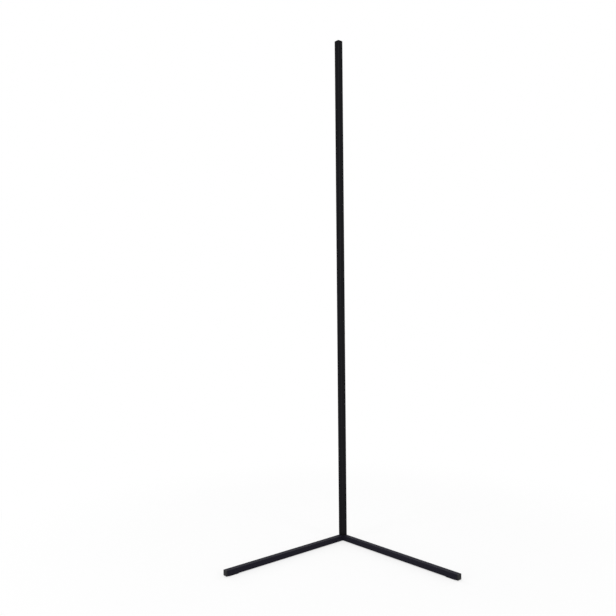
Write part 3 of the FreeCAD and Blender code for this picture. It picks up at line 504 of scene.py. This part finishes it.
def add_piece(name, shape, slot, *replaces, body="lamp"):
    """A piece that rides on a body, smooth but for its sharp edges, and flat where its faces are flat."""
    mesh = to_mesh(name, shape)
    mesh.polygons.foreach_set("use_smooth", np.ones(len(mesh.polygons), bool))
    mesh.set_sharp_from_angle(angle=SMOOTH_ANGLE)
    mesh.materials.append(finish(slot))
    piece = add_object(name, mesh)
    weighted = piece.modifiers.new("Weighted normals", "WEIGHTED_NORMAL")
    weighted.keep_sharp = True
    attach(piece, body)
    if replaces:
        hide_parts(*replaces)
    return piece


def box_of(node):
    """Lowest and highest corner of a CAD node as arrays."""
    low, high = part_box(node)
    return np.array(low), np.array(high)


def finish(slot):
    """The material of a slot, made once."""
    if slot not in made_finishes:
        if slot in METALS:
            made_finishes[slot] = metal(slot, *METALS[slot])
        elif slot in SPECKLED:
            hex_colour, *measures = SPECKLED[slot]
            made_finishes[slot] = speckled(slot, linear(hex_colour), *measures)
        else:
            made_finishes[slot] = FINISHES[slot]()
    return made_finishes[slot]


# ---- materials ----

def feed(tree, socket, value):
    """Set a socket to a value, or link it from another socket."""
    if isinstance(value, bpy.types.NodeSocket):
        tree.links.new(value, socket)
    else:
        socket.default_value = value


def add_node(tree, kind, inputs=None, **settings):
    """Add a node, set its own settings, and give each named input a value or a link from a socket."""
    made = tree.nodes.new(kind)
    for name, value in settings.items():
        setattr(made, name, value)
    for name, value in (inputs or {}).items():
        feed(tree, made.inputs[name], value)
    return made


def combine(tree, operation, first, second):
    """A sum, product or other combination of two sockets or numbers."""
    node = add_node(tree, "ShaderNodeMath", operation=operation)
    for socket, value in zip(node.inputs, (first, second)):
        feed(tree, socket, value)
    return node.outputs["Value"]


def empty_tree(owner):
    """The node tree of a material or a world, emptied."""
    owner.use_nodes = True
    owner.node_tree.nodes.clear()
    return owner.node_tree


def start_material(name, base_colour, **uniform):
    """A material with one shader; uniform values are set straight on its sockets."""
    material = bpy.data.materials.new(name)
    tree = empty_tree(material)
    shader = add_node(tree, "ShaderNodeBsdfPrincipled", {"Base Color": base_colour})
    for socket, value in uniform.items():
        shader.inputs[socket.replace("_", " ")].default_value = value
    add_node(tree, "ShaderNodeOutputMaterial", {"Surface": shader.outputs["BSDF"]})
    return material, tree, shader


def pattern(tree, size, detail=2.0, roughness=0.5):
    """Noise whose grains measure one size, or three along the object's axes, in millimetres."""
    place = add_node(tree, "ShaderNodeTexCoord")
    scale = (1 / (np.broadcast_to(size, 3) * MM)).tolist()
    grains = add_node(tree, "ShaderNodeMapping", {"Vector": place.outputs["Object"], "Scale": scale})
    inputs = {"Vector": grains.outputs["Vector"], "Scale": 1.0, "Detail": detail, "Roughness": roughness}
    return add_node(tree, "ShaderNodeTexNoise", inputs).outputs["Fac"]


def spread(tree, factor, low, high):
    """A factor's middle half mapped to a range."""
    inputs = {"Value": factor, "From Min": 0.25, "From Max": 0.75, "To Min": low, "To Max": high}
    return add_node(tree, "ShaderNodeMapRange", inputs).outputs["Result"]


def emboss(tree, shader, factor, depth):
    """Raise the surface by a depth, in millimetres, where the factor is one."""
    bump = add_node(tree, "ShaderNodeBump", {"Height": factor, "Distance": depth * MM, "Strength": 1.0})
    tree.links.new(bump.outputs["Normal"], shader.inputs["Normal"])


def roughen(tree, shader, factor, low, high, depth):
    """Let a factor set the roughness, in a range, and raise the surface by a depth if there is one."""
    tree.links.new(spread(tree, factor, low, high), shader.inputs["Roughness"])
    if depth:
        emboss(tree, shader, factor, depth)


def tint(tree, shader, factor, base_colour, amount):
    """Make the base colour lighter and darker by an amount, as the factor's middle half says."""
    dark, light = ([channel * (1 + part) for channel in base_colour[:3]] + [1] for part in (-amount, amount))
    mix = add_node(tree, "ShaderNodeMix", {"Factor": spread(tree, factor, 0, 1)}, data_type="RGBA")
    for socket, value in zip([s for s in mix.inputs if s.type == "RGBA"], (dark, light)):
        socket.default_value = value
    result = next(s for s in mix.outputs if s.type == "RGBA")
    tree.links.new(result, shader.inputs["Base Color"])


def black_anodised_aluminium():
    """Extruded aluminium, etched and anodised black: a dark metal sheen, faint die lines along the bar.

    The dyed film swallows the light that grazes it, so the edges stay dark.
    """
    shade = bpy.context.scene.lamp_colours.anodised
    material, tree, shader = start_material(
        "black_anodised_aluminium", shade, Metallic=0.92, Roughness=0.42, Specular_IOR_Level=0.2,
        Specular_Tint=linear("#8c8c8c"),
    )
    lines = pattern(tree, (0.6, 0.6, 180), detail=4, roughness=0.6)  # real die lines are finer
    clouds = pattern(tree, (25, 25, 70))
    tint(tree, shader, combine(tree, "MULTIPLY", lines, spread(tree, clouds, 0.8, 1.2)), shade, 0.2)
    roughen(tree, shader, lines, 0.36, 0.48, 0.03)
    return material


def speckled(name, shade, roughness, size, amount, depth, reach=None, detail=3, fineness=0.5, **uniform):
    """A non-metal whose tone, height and roughness follow a grain, the last by a tenth or in a range."""
    material, tree, shader = start_material(name, shade, Roughness=roughness, **uniform)
    grain = pattern(tree, size, detail, fineness)
    tint(tree, shader, grain, shade, amount)
    roughen(tree, shader, grain, *(reach or (roughness * 0.9, roughness * 1.1)), depth)
    return material


def black_powder_coat():
    """Polyester powder coat, fine matt: a soft sheen broken by an orange peel of about a millimetre.

    The peel is drawn deeper than it is, because the real one wouldn't show on so dark a coat.
    """
    shade = bpy.context.scene.lamp_colours.powder
    return speckled(
        "black_powder_coat", shade, roughness=0.6, size=1.1, amount=0.5, depth=0.3, reach=(0.45, 0.7),
        detail=5, fineness=0.7, Specular_IOR_Level=0.05,
    )


def black_plastic():
    """ABS moulded in a spark-eroded tool: an even fine grain, matt, with a weak highlight."""
    shade = bpy.context.scene.lamp_colours.plastic
    return speckled(
        "black_plastic", shade, roughness=0.52, size=0.35, amount=0.4, depth=0.08, reach=(0.42, 0.62),
        detail=4, fineness=0.65, Specular_IOR_Level=0.15,
    )


def black_rubber():
    """Moulded rubber: dull, slightly uneven and dusty."""
    shade = bpy.context.scene.lamp_colours.rubber
    return speckled(
        "black_rubber", shade, roughness=0.85, size=1.5, amount=0.35, depth=0.08, reach=(0.85, 0.85),
        detail=5, fineness=0.7, Specular_IOR_Level=0.2,
    )


def opal_plastic():
    """Extruded opal polycarbonate: milky, light goes a little way in, satin with faint draw lines."""
    material, tree, shader = start_material(
        "opal_plastic", bpy.context.scene.lamp_colours.opal, Roughness=0.35, IOR=1.58,
        Subsurface_Weight=0.6, Subsurface_Radius=(1.0, 1.0, 1.0), Subsurface_Scale=2 * MM,
    )
    roughen(tree, shader, pattern(tree, (0.8, 0.8, 220)), 0.32, 0.4, 0.004)
    return material


def metal(name, hex_colour, low, high, grain_size):
    """A bare or plated metal whose roughness runs between two values."""
    material, tree, shader = start_material(name, linear(hex_colour), Metallic=1.0, Roughness=low)
    roughen(tree, shader, pattern(tree, grain_size), low, high, 0.004)
    return material


METALS = {
    # finish: colour, lowest and highest roughness, size of the grain in mm
    "plain_aluminium": ("#c9cacc", 0.3, 0.45, (0.4, 0.4, 60)),  # bar as extruded, pale, draw lines along it
    "zinc_plated_steel": ("#c4c5c6", 0.25, 0.4, 0.6),  # bright zinc plate, clear and slightly cloudy
    "nickel_plated_shell": ("#b9b5ac", 0.18, 0.3, (0.3, 4, 0.3)),  # warm grey, smooth, faint draw marks
    "can_aluminium": ("#c6c7ca", 0.2, 0.34, (0.3, 3, 0.3)),  # drawn can of the capacitor
}
SPECKLED = {
    # finish: colour, roughness, size of the grain in mm, share that the tone varies by, height in mm
    "adhesive_tape": ("#dedcd4", 0.75, 1.5, 0.06, 0.02),  # paper fibres under a dull adhesive
    "white_strip_board": ("#ecece8", 0.4, 3, 0.03, 0.01),  # white solder mask, uneven over the copper
    "package_white": ("#efeee9", 0.35, 0.5, 0.02, 0),  # moulded white housing of a light package
    "lens_resin": ("#e5d98a", 0.15, 0.8, 0.08, 0),  # clear resin over the phosphor, pale yellow and glossy
    "chip_black": ("#242424", 0.6, 0.2, 0.15, 0.006),  # epoxy moulding compound, charcoal, fine grained
    "board_green": ("#0d5a34", 0.35, 1.2, 0.12, 0.008),  # green solder mask over copper and glass cloth
    "switch_plastic": ("#2b2b2b", 0.5, 0.3, 0.08, 0.008),  # black moulded nylon of the push switch
    "lead_insulation": ("#e8e7e1", 0.4, 0.8, 0.03, 0.006),  # white film over flat copper
}
FINISHES = {
    make.__name__: make
    for make in (black_anodised_aluminium, black_powder_coat, black_plastic, black_rubber, opal_plastic)
}
made_finishes = {}


def dress(*nodes):
    """Give CAD nodes that stay as they are the finish of the slot that the record names for each."""
    for part in frame["record"]["subparts"]:
        if part["node"] in nodes:
            for slot in frame["nodes"][part["node"]].material_slots:
                slot.material = finish(part["material_slot"])


# ---- operators ----

def web_rear(sizes):
    """Place of the web's rear face along Y."""
    return apex(sizes) * ROOT2 + sizes.chamber_leg / ROOT2 + sizes.web_thick


def into_web(shape, y, height):
    """A drill's shape at a height, turned so that it enters a face at y from the rear."""
    return placed(shape, (0, y, height), (1, 0, 0), (0, 0, 1), (0, -1, 0))


def web_screw_heights(sizes, node):
    """Heights of a section's screws: beside each joint, and a second where the block's tenon is."""
    low, high = box_of(node)
    heights = [low[2] + sizes.web_screw_inset]
    if node == POLE_NODES[0]:
        heights.append(heights[0] + sizes.web_screw_pitch)
    if node != POLE_NODES[-1]:
        heights.append(high[2] - sizes.web_screw_inset)
    return heights


class LAMP_OT_pole(bpy.types.Operator):
    """Three sawn lengths of black extrusion, with the splines and screws that join them"""
    bl_idname = "lamp.pole"
    bl_label = "Pole"

    def execute(self, context):
        sizes = context.scene.lamp_sizes
        outline, chamber = extrusion_section(sizes)
        hole = drill(sizes.web_hole, sizes.web_thick + DRILL_PAST, sizes.web_sink)
        for node in POLE_NODES:
            low, high = box_of(node)
            blank = bar(outline, low[2], high[2], sizes.saw_round, sizes.saw_round, chamber)
            holes = [into_web(hole, web_rear(sizes), height) for height in web_screw_heights(sizes, node)]
            add_piece(f"{node}_extrusion", cut_away(blank, *holes), "black_anodised_aluminium", node)
        dress("spline_lower", "spline_upper", "pole_screws")
        return {"FINISHED"}


class LAMP_OT_cap(bpy.types.Operator):
    """Moulded cap on the pole, crowned, with its plug in the chamber"""
    bl_idname = "lamp.cap"
    bl_label = "Top cap"

    def execute(self, context):
        sizes = context.scene.lamp_sizes
        low, high = box_of("top_cap")
        joint = box_of("pole_upper")[1][2]
        rounds = (sizes.cap_round, sizes.cap_crown, sizes.seam_round)
        plate = crowned_bar(plan_section(sizes), joint, high[2], *rounds)
        plug = bar(chamber_plug(sizes), low[2], joint, sizes.slide_gap)
        add_piece("top_cap_moulding", join(plate, plug), "black_plastic", "top_cap")
        return {"FINISHED"}


class LAMP_OT_cover(bpy.types.Operator):
    """Opal cover of the light channel, a quarter round with snap stems"""
    bl_idname = "lamp.cover"
    bl_label = "Opal cover"

    def execute(self, context):
        sizes = context.scene.lamp_sizes
        low, high = box_of("diffuser")
        shape = bar(cover_section(sizes), low[2], high[2])
        add_piece("opal_cover", shape, "opal_plastic", "diffuser")
        return {"FINISHED"}


def leg_measures(sizes, name):
    """Side of a leg's tube, height of its middle, and how far out its two ends are."""
    low, high = box_of(f"{name}_leg")
    side = high[2] - low[2]
    near, far = sorted(abs(x) for x in (low[0], high[0]))
    return side, (low[2] + high[2]) / 2, near * ROOT2 + side / 2, far * ROOT2 - side / 2


def on_leg(shape, height, side):
    """A shape drawn along a leg's own axes, laid at the leg's height."""
    return placed(shape, (0, 0, height), *leg_axes(side))


def from_below(shape, side, distance, height):
    """A drill's shape that enters from beneath, at a distance out along a leg and at a height."""
    vertices, faces = shape
    return vertices + leg_axes(side)[2] * distance + (0, 0, height), faces


class LAMP_OT_block(bpy.types.Operator):
    """Cast corner block under the pole: tenon up into the chamber, one spigot into each leg"""
    bl_idname = "lamp.block"
    bl_label = "Corner block"

    def execute(self, context):
        sizes = context.scene.lamp_sizes
        low, high = box_of("corner_block")
        shoulder = box_of("pole_lower")[0][2]
        body = bar(plan_section(sizes), low[2], shoulder, sizes.block_round, sizes.block_round)
        tenon = bar(chamber_plug(sizes), shoulder, high[2], 0, sizes.slide_gap)
        bore = drill(sizes.web_hole, sizes.tenon_bore)
        seat = web_rear(sizes) - sizes.web_thick - sizes.slide_gap
        heights = web_screw_heights(sizes, POLE_NODES[0])[:2]
        shapes = [body, cut_away(tenon, *[into_web(bore, seat, height) for height in heights])]
        for name, side in LEGS:
            size, middle, start, _ = leg_measures(sizes, name)
            width = size - 2 * sizes.leg_wall - 2 * sizes.spigot_gap
            end = start + sizes.spigot_reach
            full = square(width, sizes.spigot_round)
            lead = square(width - 2 * sizes.spigot_lead, sizes.spigot_round)
            spigot = on_leg(skin([full, full, lead], [start, end - sizes.spigot_lead, end]), middle, side)
            bore = drill(sizes.leg_hole, sizes.spigot_bore)
            screw = start + sizes.leg_screw_inset
            shapes.append(cut_away(spigot, from_below(bore, side, screw, middle - width / 2)))
        add_piece("corner_block_casting", join(*shapes), "black_powder_coat", "corner_block")
        return {"FINISHED"}


class LAMP_OT_legs(bpy.types.Operator):
    """Two square tubes on the floor with the screws that hold them"""
    bl_idname = "lamp.legs"
    bl_label = "Legs"

    def execute(self, context):
        sizes = context.scene.lamp_sizes
        for name, side in LEGS:
            size, middle, start, end = leg_measures(sizes, name)
            inside = size - 2 * sizes.leg_wall
            hollow = square(inside, sizes.die_round)
            tube = bar(square(size, sizes.leg_round), start, end, sizes.saw_round, sizes.saw_round, hollow)
            hole = drill(sizes.leg_hole, sizes.leg_wall + DRILL_PAST, sizes.leg_sink)
            hole = from_below(hole, side, start + sizes.leg_screw_inset, middle - size / 2)
            shape = cut_away(on_leg(tube, middle, side), hole)
            add_piece(f"{name}_leg_tube", shape, "black_powder_coat", f"{name}_leg")
        dress("leg_screws")
        return {"FINISHED"}


class LAMP_OT_plugs(bpy.types.Operator):
    """Moulded end plugs of the legs, a crowned head and a finned core"""
    bl_idname = "lamp.plugs"
    bl_label = "Leg plugs"

    def execute(self, context):
        sizes = context.scene.lamp_sizes
        for name, side in LEGS:
            size, middle, _, end = leg_measures(sizes, name)
            rounds = (sizes.plug_round, sizes.plug_crown, sizes.seam_round)
            head = crowned_bar(square(size, sizes.leg_round), end, end + sizes.plug_head, *rounds)
            fin = square(size - 2 * sizes.leg_wall - 2 * sizes.spigot_gap, sizes.spigot_round)
            core = square(sizes.plug_core, sizes.spigot_round)
            starts = np.arange(end - sizes.plug_depth, end - sizes.fin_thick, sizes.fin_pitch)
            rings, places = [], []
            for place in starts:
                step = place + sizes.fin_thick
                rings += [fin, fin, core, core]
                places += [place, step, step, min(place + sizes.fin_pitch, end)]
            shape = on_leg(join(head, skin(rings, places)), middle, side)
            add_piece(f"{name}_leg_end_plug", shape, "black_plastic", f"{name}_leg_plug")
        return {"FINISHED"}


class LAMP_OT_pads(bpy.types.Operator):
    """Rubber pads under the block and the legs' ends"""
    bl_idname = "lamp.pads"
    bl_label = "Pads"

    def execute(self, context):
        sizes = context.scene.lamp_sizes
        low, high = box_of("corner_pad")
        shape = bar(disc(high[0], PAD_STEPS), low[2], high[2], sizes.pad_round)
        add_piece("corner_pad_rubber", shape, "black_rubber", "corner_pad")
        for name, side in LEGS:
            low, high = box_of(f"{name}_leg_pad")
            middle = (low + high) / 2
            reach = (high[0] - low[0]) / 2
            corner = sizes.leg_pad_round
            along = 2 * ((reach - corner) * ROOT2 + 2 * corner) - sizes.leg_pad_width
            pad = bar(rectangle(sizes.leg_pad_width, along, corner), 0, high[2], sizes.pad_round)
            across = np.array([1, side, 0]) / ROOT2
            shape = placed(pad, (middle[0], middle[1], 0), across, leg_axes(side)[2], (0, 0, 1))
            add_piece(f"{name}_leg_pad_rubber", shape, "black_rubber", f"{name}_leg_pad")
        return {"FINISHED"}


class LAMP_OT_light_strip(bpy.types.Operator):
    """Light strip on the web, under the opal cover"""
    bl_idname = "lamp.light_strip"
    bl_label = "Light strip"

    def execute(self, context):
        dress("strip_tape", "strip_board", "strip_leds", "strip_lenses", "strip_resistors", "strip_leads")
        return {"FINISHED"}


def to_rear(shape, height):
    """A shape drawn along its own third axis, laid along Y at a height, its second axis up."""
    return placed(shape, (0, 0, height), (-1, 0, 0), (0, 0, 1), (0, 1, 0))


def middle_height(node):
    """Height of a node's middle."""
    return sum(box_of(node))[2] / 2


class LAMP_OT_foot_cover(bpy.types.Operator):
    """Black cover over the controls, with the openings of the inlet and the button"""
    bl_idname = "lamp.foot_cover"
    bl_label = "Foot cover"

    def execute(self, context):
        sizes = context.scene.lamp_sizes
        low, high = box_of("foot_cover")
        blank = bar(cover_section(sizes), low[2], high[2])
        shell_low, shell_high = box_of("power_socket")
        width, _, height = shell_high - shell_low + 2 * sizes.opening_gap
        past = high[1] + DRILL_PAST
        slot = to_rear(bar(obround(width, height), 0, past), middle_height("power_socket"))
        round_hole = disc(sizes.button_radius + sizes.opening_gap, DISC_STEPS)
        hole = to_rear(bar(round_hole, 0, past), middle_height("mode_button"))
        shape = cut_away(blank, slot, hole)
        add_piece("foot_cover_moulding", shape, "black_plastic", "foot_cover")
        return {"FINISHED"}


class LAMP_OT_inlet(bpy.types.Operator):
    """Upright power inlet: drawn shell with a rolled mouth, and a tongue with its plated contacts"""
    bl_idname = "lamp.inlet"
    bl_label = "Power inlet"

    def execute(self, context):
        sizes = context.scene.lamp_sizes
        low, high = box_of("power_socket")
        outline = obround(high[0] - low[0], high[2] - low[2])
        wall = sizes.shell_wall
        turn = np.linspace(0, math.pi, EDGE_STEPS)
        insets = [0, *(wall / 2 * (1 - np.cos(turn))), wall]
        places = [low[1], *(high[1] - wall / 2 + wall / 2 * np.sin(turn)), low[1] + sizes.shell_base]
        height = middle_height("power_socket")
        shell = to_rear(skin([inset(outline, distance) for distance in insets], places), height)
        add_piece("power_socket_shell", shell, "nickel_plated_shell", "power_socket")
        low, high = box_of("socket_tongue")
        section = rectangle(high[0] - low[0], high[2] - low[2], sizes.tongue_round)
        tongue = to_rear(bar(section, low[1], high[1], 0, sizes.tongue_edge), height)
        add_piece("socket_tongue_moulding", tongue, "chip_black", "socket_tongue")
        count = int((high[2] - low[2]) / sizes.contact_pitch) - 1
        rises = (np.arange(count) - (count - 1) / 2) * sizes.contact_pitch
        strip = rectangle(2 * sizes.contact_lift, sizes.contact_width, sizes.contact_lift / 2)
        contacts = [
            bar(strip + (across, rise), low[1] + sizes.shell_base, high[1] - sizes.contact_inset)
            for across in (low[0], high[0])
            for rise in rises
        ]
        add_piece("socket_contacts", to_rear(join(*contacts), height), "nickel_plated_shell")
        return {"FINISHED"}


class LAMP_OT_button(bpy.types.Operator):
    """Round button with a dished face and the flange that keeps it in"""
    bl_idname = "lamp.button"
    bl_label = "Button"

    def execute(self, context):
        sizes = context.scene.lamp_sizes
        low, high = box_of("mode_button")
        radius, edge = sizes.button_radius, sizes.button_round
        flange = low[1] + sizes.flange_thick
        turn = np.linspace(0, math.pi / 2, EDGE_STEPS)
        side = np.column_stack([radius - edge + edge * np.cos(turn), high[1] - edge + edge * np.sin(turn)])
        across = np.linspace(1, 0, DISH_STEPS)[1:]
        dish = np.column_stack([
            (radius - edge) * across, high[1] - sizes.button_dish * (1 - across ** 2) ** 2
        ])
        foot = [(0, low[1]), (high[0], low[1]), (high[0], flange), (radius, flange)]
        shape = to_rear(lathe(np.concatenate([foot, side, dish])), middle_height("mode_button"))
        add_piece("button_moulding", shape, "black_plastic", "mode_button", body="button")
        dress("switch_plunger")
        return {"FINISHED"}


class LAMP_OT_controls(bpy.types.Operator):
    """Control board and what stands on it, behind the foot cover"""
    bl_idname = "lamp.controls"
    bl_label = "Controls"

    def execute(self, context):
        dress("control_board", "board_chips", "board_capacitor", "radio_module", "switch_body")
        return {"FINISHED"}


# ---- stage ----

FLOOR_REACH = 30.0
SHADOW_REACH = 0.45  # within this distance of the pole the floor shows the lamp's shadow
FADE_REACH = 1.1  # past this distance the floor is as plain white as the background
SHADOW_SHARE = 0.35  # share of the floor's own lit surface in what the camera sees near the lamp
WORLD_LEVEL = 0.52
CAMERA_TURN = 0.01941  # the camera stands this far round from -Y, in radians
CAMERA_DISTANCE = 1.93786
CAMERA_HEIGHT = 0.64132
CAMERA_PAN = -0.04762
CAMERA_PITCH = 0.00483
CAMERA_ROLL = -0.00874
FOCAL_PIXELS = 689.62
IMAGE_PIXELS = 616
SENSOR = 36.0
LIGHTS = (
    # name, place, width, height, power: tall soft boxes at four corners, and a wide one overhead
    ("front_left_box", (-1.8, -1.8, 1.1), 0.9, 2.2, 20),
    ("front_right_box", (1.8, -1.8, 1.1), 0.9, 2.2, 15),
    ("rear_left_box", (-1.8, 1.8, 1.1), 0.9, 2.2, 17),
    ("rear_right_box", (1.8, 1.8, 1.1), 0.9, 2.2, 17),
    ("overhead_box", (0.0, -0.3, 3.2), 2.4, 2.4, 30),
)


def background_rays(tree):
    """One for camera, mirror and glass rays, which see the plain background, and otherwise zero."""
    path = add_node(tree, "ShaderNodeLightPath")
    seen = path.outputs["Is Camera Ray"]
    for name in ("Is Glossy Ray", "Is Transmission Ray"):
        seen = combine(tree, "MAXIMUM", seen, path.outputs[name])
    return seen


def white_world():
    """A world that is white where it is seen and gives a plain level of light elsewhere."""
    world = bpy.data.worlds.new("studio")
    tree = empty_tree(world)
    inputs = {"Value": background_rays(tree), "To Min": WORLD_LEVEL, "To Max": 1.0}
    strength = add_node(tree, "ShaderNodeMapRange", inputs).outputs["Result"]
    background = add_node(tree, "ShaderNodeBackground", {"Color": (1, 1, 1, 1), "Strength": strength})
    add_node(tree, "ShaderNodeOutputWorld", {"Surface": background.outputs["Background"]})
    bpy.context.scene.world = world


def floor_material():
    """Matt white studio sweep: it keeps the lamp's shadow, and further out it is the background's white."""
    shade = bpy.context.scene.lamp_colours.floor
    material = bpy.data.materials.new("white_sweep")
    tree = empty_tree(material)
    place = add_node(tree, "ShaderNodeTexCoord")
    distance = add_node(tree, "ShaderNodeVectorMath", {"Vector": place.outputs["Object"]}, operation="LENGTH")
    inputs = {
        "Value": distance.outputs["Value"], "From Min": SHADOW_REACH, "From Max": FADE_REACH,
        "To Min": 1 - SHADOW_SHARE, "To Max": 1.0,
    }
    fade = add_node(tree, "ShaderNodeMapRange", inputs, interpolation_type="SMOOTHSTEP")
    diffuse = add_node(tree, "ShaderNodeBsdfDiffuse", {"Color": shade})
    glow = add_node(tree, "ShaderNodeEmission", {"Color": (1, 1, 1, 1), "Strength": 1.0})
    share = combine(tree, "MULTIPLY", fade.outputs["Result"], background_rays(tree))
    mixed = add_node(tree, "ShaderNodeMixShader", {"Fac": share})
    tree.links.new(diffuse.outputs["BSDF"], mixed.inputs[1])
    tree.links.new(glow.outputs["Emission"], mixed.inputs[2])
    add_node(tree, "ShaderNodeOutputMaterial", {"Surface": mixed.outputs["Shader"]})
    return material


def add_floor():
    """A wide flat floor at the pads' undersides."""
    reach = FLOOR_REACH
    corners = [(-reach, -reach, 0), (reach, -reach, 0), (reach, reach, 0), (-reach, reach, 0)]
    mesh = bpy.data.meshes.new("floor")
    mesh.from_pydata(corners, [], [(0, 1, 2, 3)])
    mesh.materials.append(floor_material())
    floor = add_object("floor", mesh)


def add_camera():
    """The camera at the photograph's place, turn and field of view."""
    place = Vector((
        math.sin(CAMERA_TURN) * CAMERA_DISTANCE, -math.cos(CAMERA_TURN) * CAMERA_DISTANCE, CAMERA_HEIGHT
    ))
    yaw = CAMERA_PAN - CAMERA_TURN
    forward = Vector((
        math.sin(yaw) * math.cos(CAMERA_PITCH), math.cos(yaw) * math.cos(CAMERA_PITCH), math.sin(CAMERA_PITCH)
    ))
    right = Vector((math.cos(yaw), -math.sin(yaw), 0))
    up = right.cross(forward)
    tilted_right = right * math.cos(CAMERA_ROLL) + up * math.sin(CAMERA_ROLL)
    tilted_up = up * math.cos(CAMERA_ROLL) - right * math.sin(CAMERA_ROLL)
    data = bpy.data.cameras.new("camera")
    data.sensor_width = SENSOR
    data.lens = SENSOR * FOCAL_PIXELS / IMAGE_PIXELS
    data.clip_end = 2 * FLOOR_REACH
    camera = add_object("camera", data)
    turn = Matrix((tilted_right, tilted_up, -forward)).transposed().to_4x4()
    camera.matrix_world = Matrix.Translation(place) @ turn
    bpy.context.scene.camera = camera


def add_lights():
    """Soft boxes that face the lamp's middle."""
    low, high = frame_bounds
    target = (low + high) / 2
    for name, place, width, height, power in LIGHTS:
        data = bpy.data.lights.new(name, "AREA")
        data.shape = "RECTANGLE"
        data.size = width
        data.size_y = height
        data.energy = power
        light = add_object(name, data)
        light.location = place
        light.rotation_euler = (target - Vector(place)).to_track_quat("-Z", "Y").to_euler()


class LAMP_OT_stage(bpy.types.Operator):
    """White floor and surroundings, soft boxes and the camera"""
    bl_idname = "lamp.stage"
    bl_label = "Stage"

    def execute(self, context):
        white_world()
        add_floor()
        add_lights()
        add_camera()
        context.scene.view_settings.view_transform = "Standard"
        return {"FINISHED"}


OPERATORS = (
    LAMP_OT_pole, LAMP_OT_cap, LAMP_OT_cover, LAMP_OT_block, LAMP_OT_legs, LAMP_OT_plugs, LAMP_OT_pads,
    LAMP_OT_light_strip, LAMP_OT_foot_cover, LAMP_OT_inlet, LAMP_OT_button, LAMP_OT_controls, LAMP_OT_stage,
)


class LAMP_PT_panel(bpy.types.Panel):
    """The lamp's sizes, colours and operators"""
    bl_idname = "LAMP_PT_panel"
    bl_label = "Corner floor lamp"
    bl_space_type = "VIEW_3D"
    bl_region_type = "UI"
    bl_category = "Lamp"

    def draw(self, context):
        for group in (context.scene.lamp_sizes, context.scene.lamp_colours):
            column = self.layout.column(align=True)
            for name in group.__annotations__:
                column.prop(group, name)
        for operator in OPERATORS:
            self.layout.operator(operator.bl_idname)


CLASSES = (LampSizes, LampColours, *OPERATORS, LAMP_PT_panel)


def register():
    """Register the classes and hang the settings on the scene."""
    for cls in CLASSES:
        bpy.utils.register_class(cls)
    bpy.types.Scene.lamp_sizes = PointerProperty(type=LampSizes)
    bpy.types.Scene.lamp_colours = PointerProperty(type=LampColours)


def unregister():
    """Take the settings and the classes away again."""
    del bpy.types.Scene.lamp_sizes
    del bpy.types.Scene.lamp_colours
    for cls in reversed(CLASSES):
        bpy.utils.unregister_class(cls)


def main():
    """Build every piece and the stage."""
    register()
    for operator in OPERATORS:
        group, name = operator.bl_idname.split(".")
        getattr(getattr(bpy.ops, group), name)()


if __name__ == "__main__":
    main()
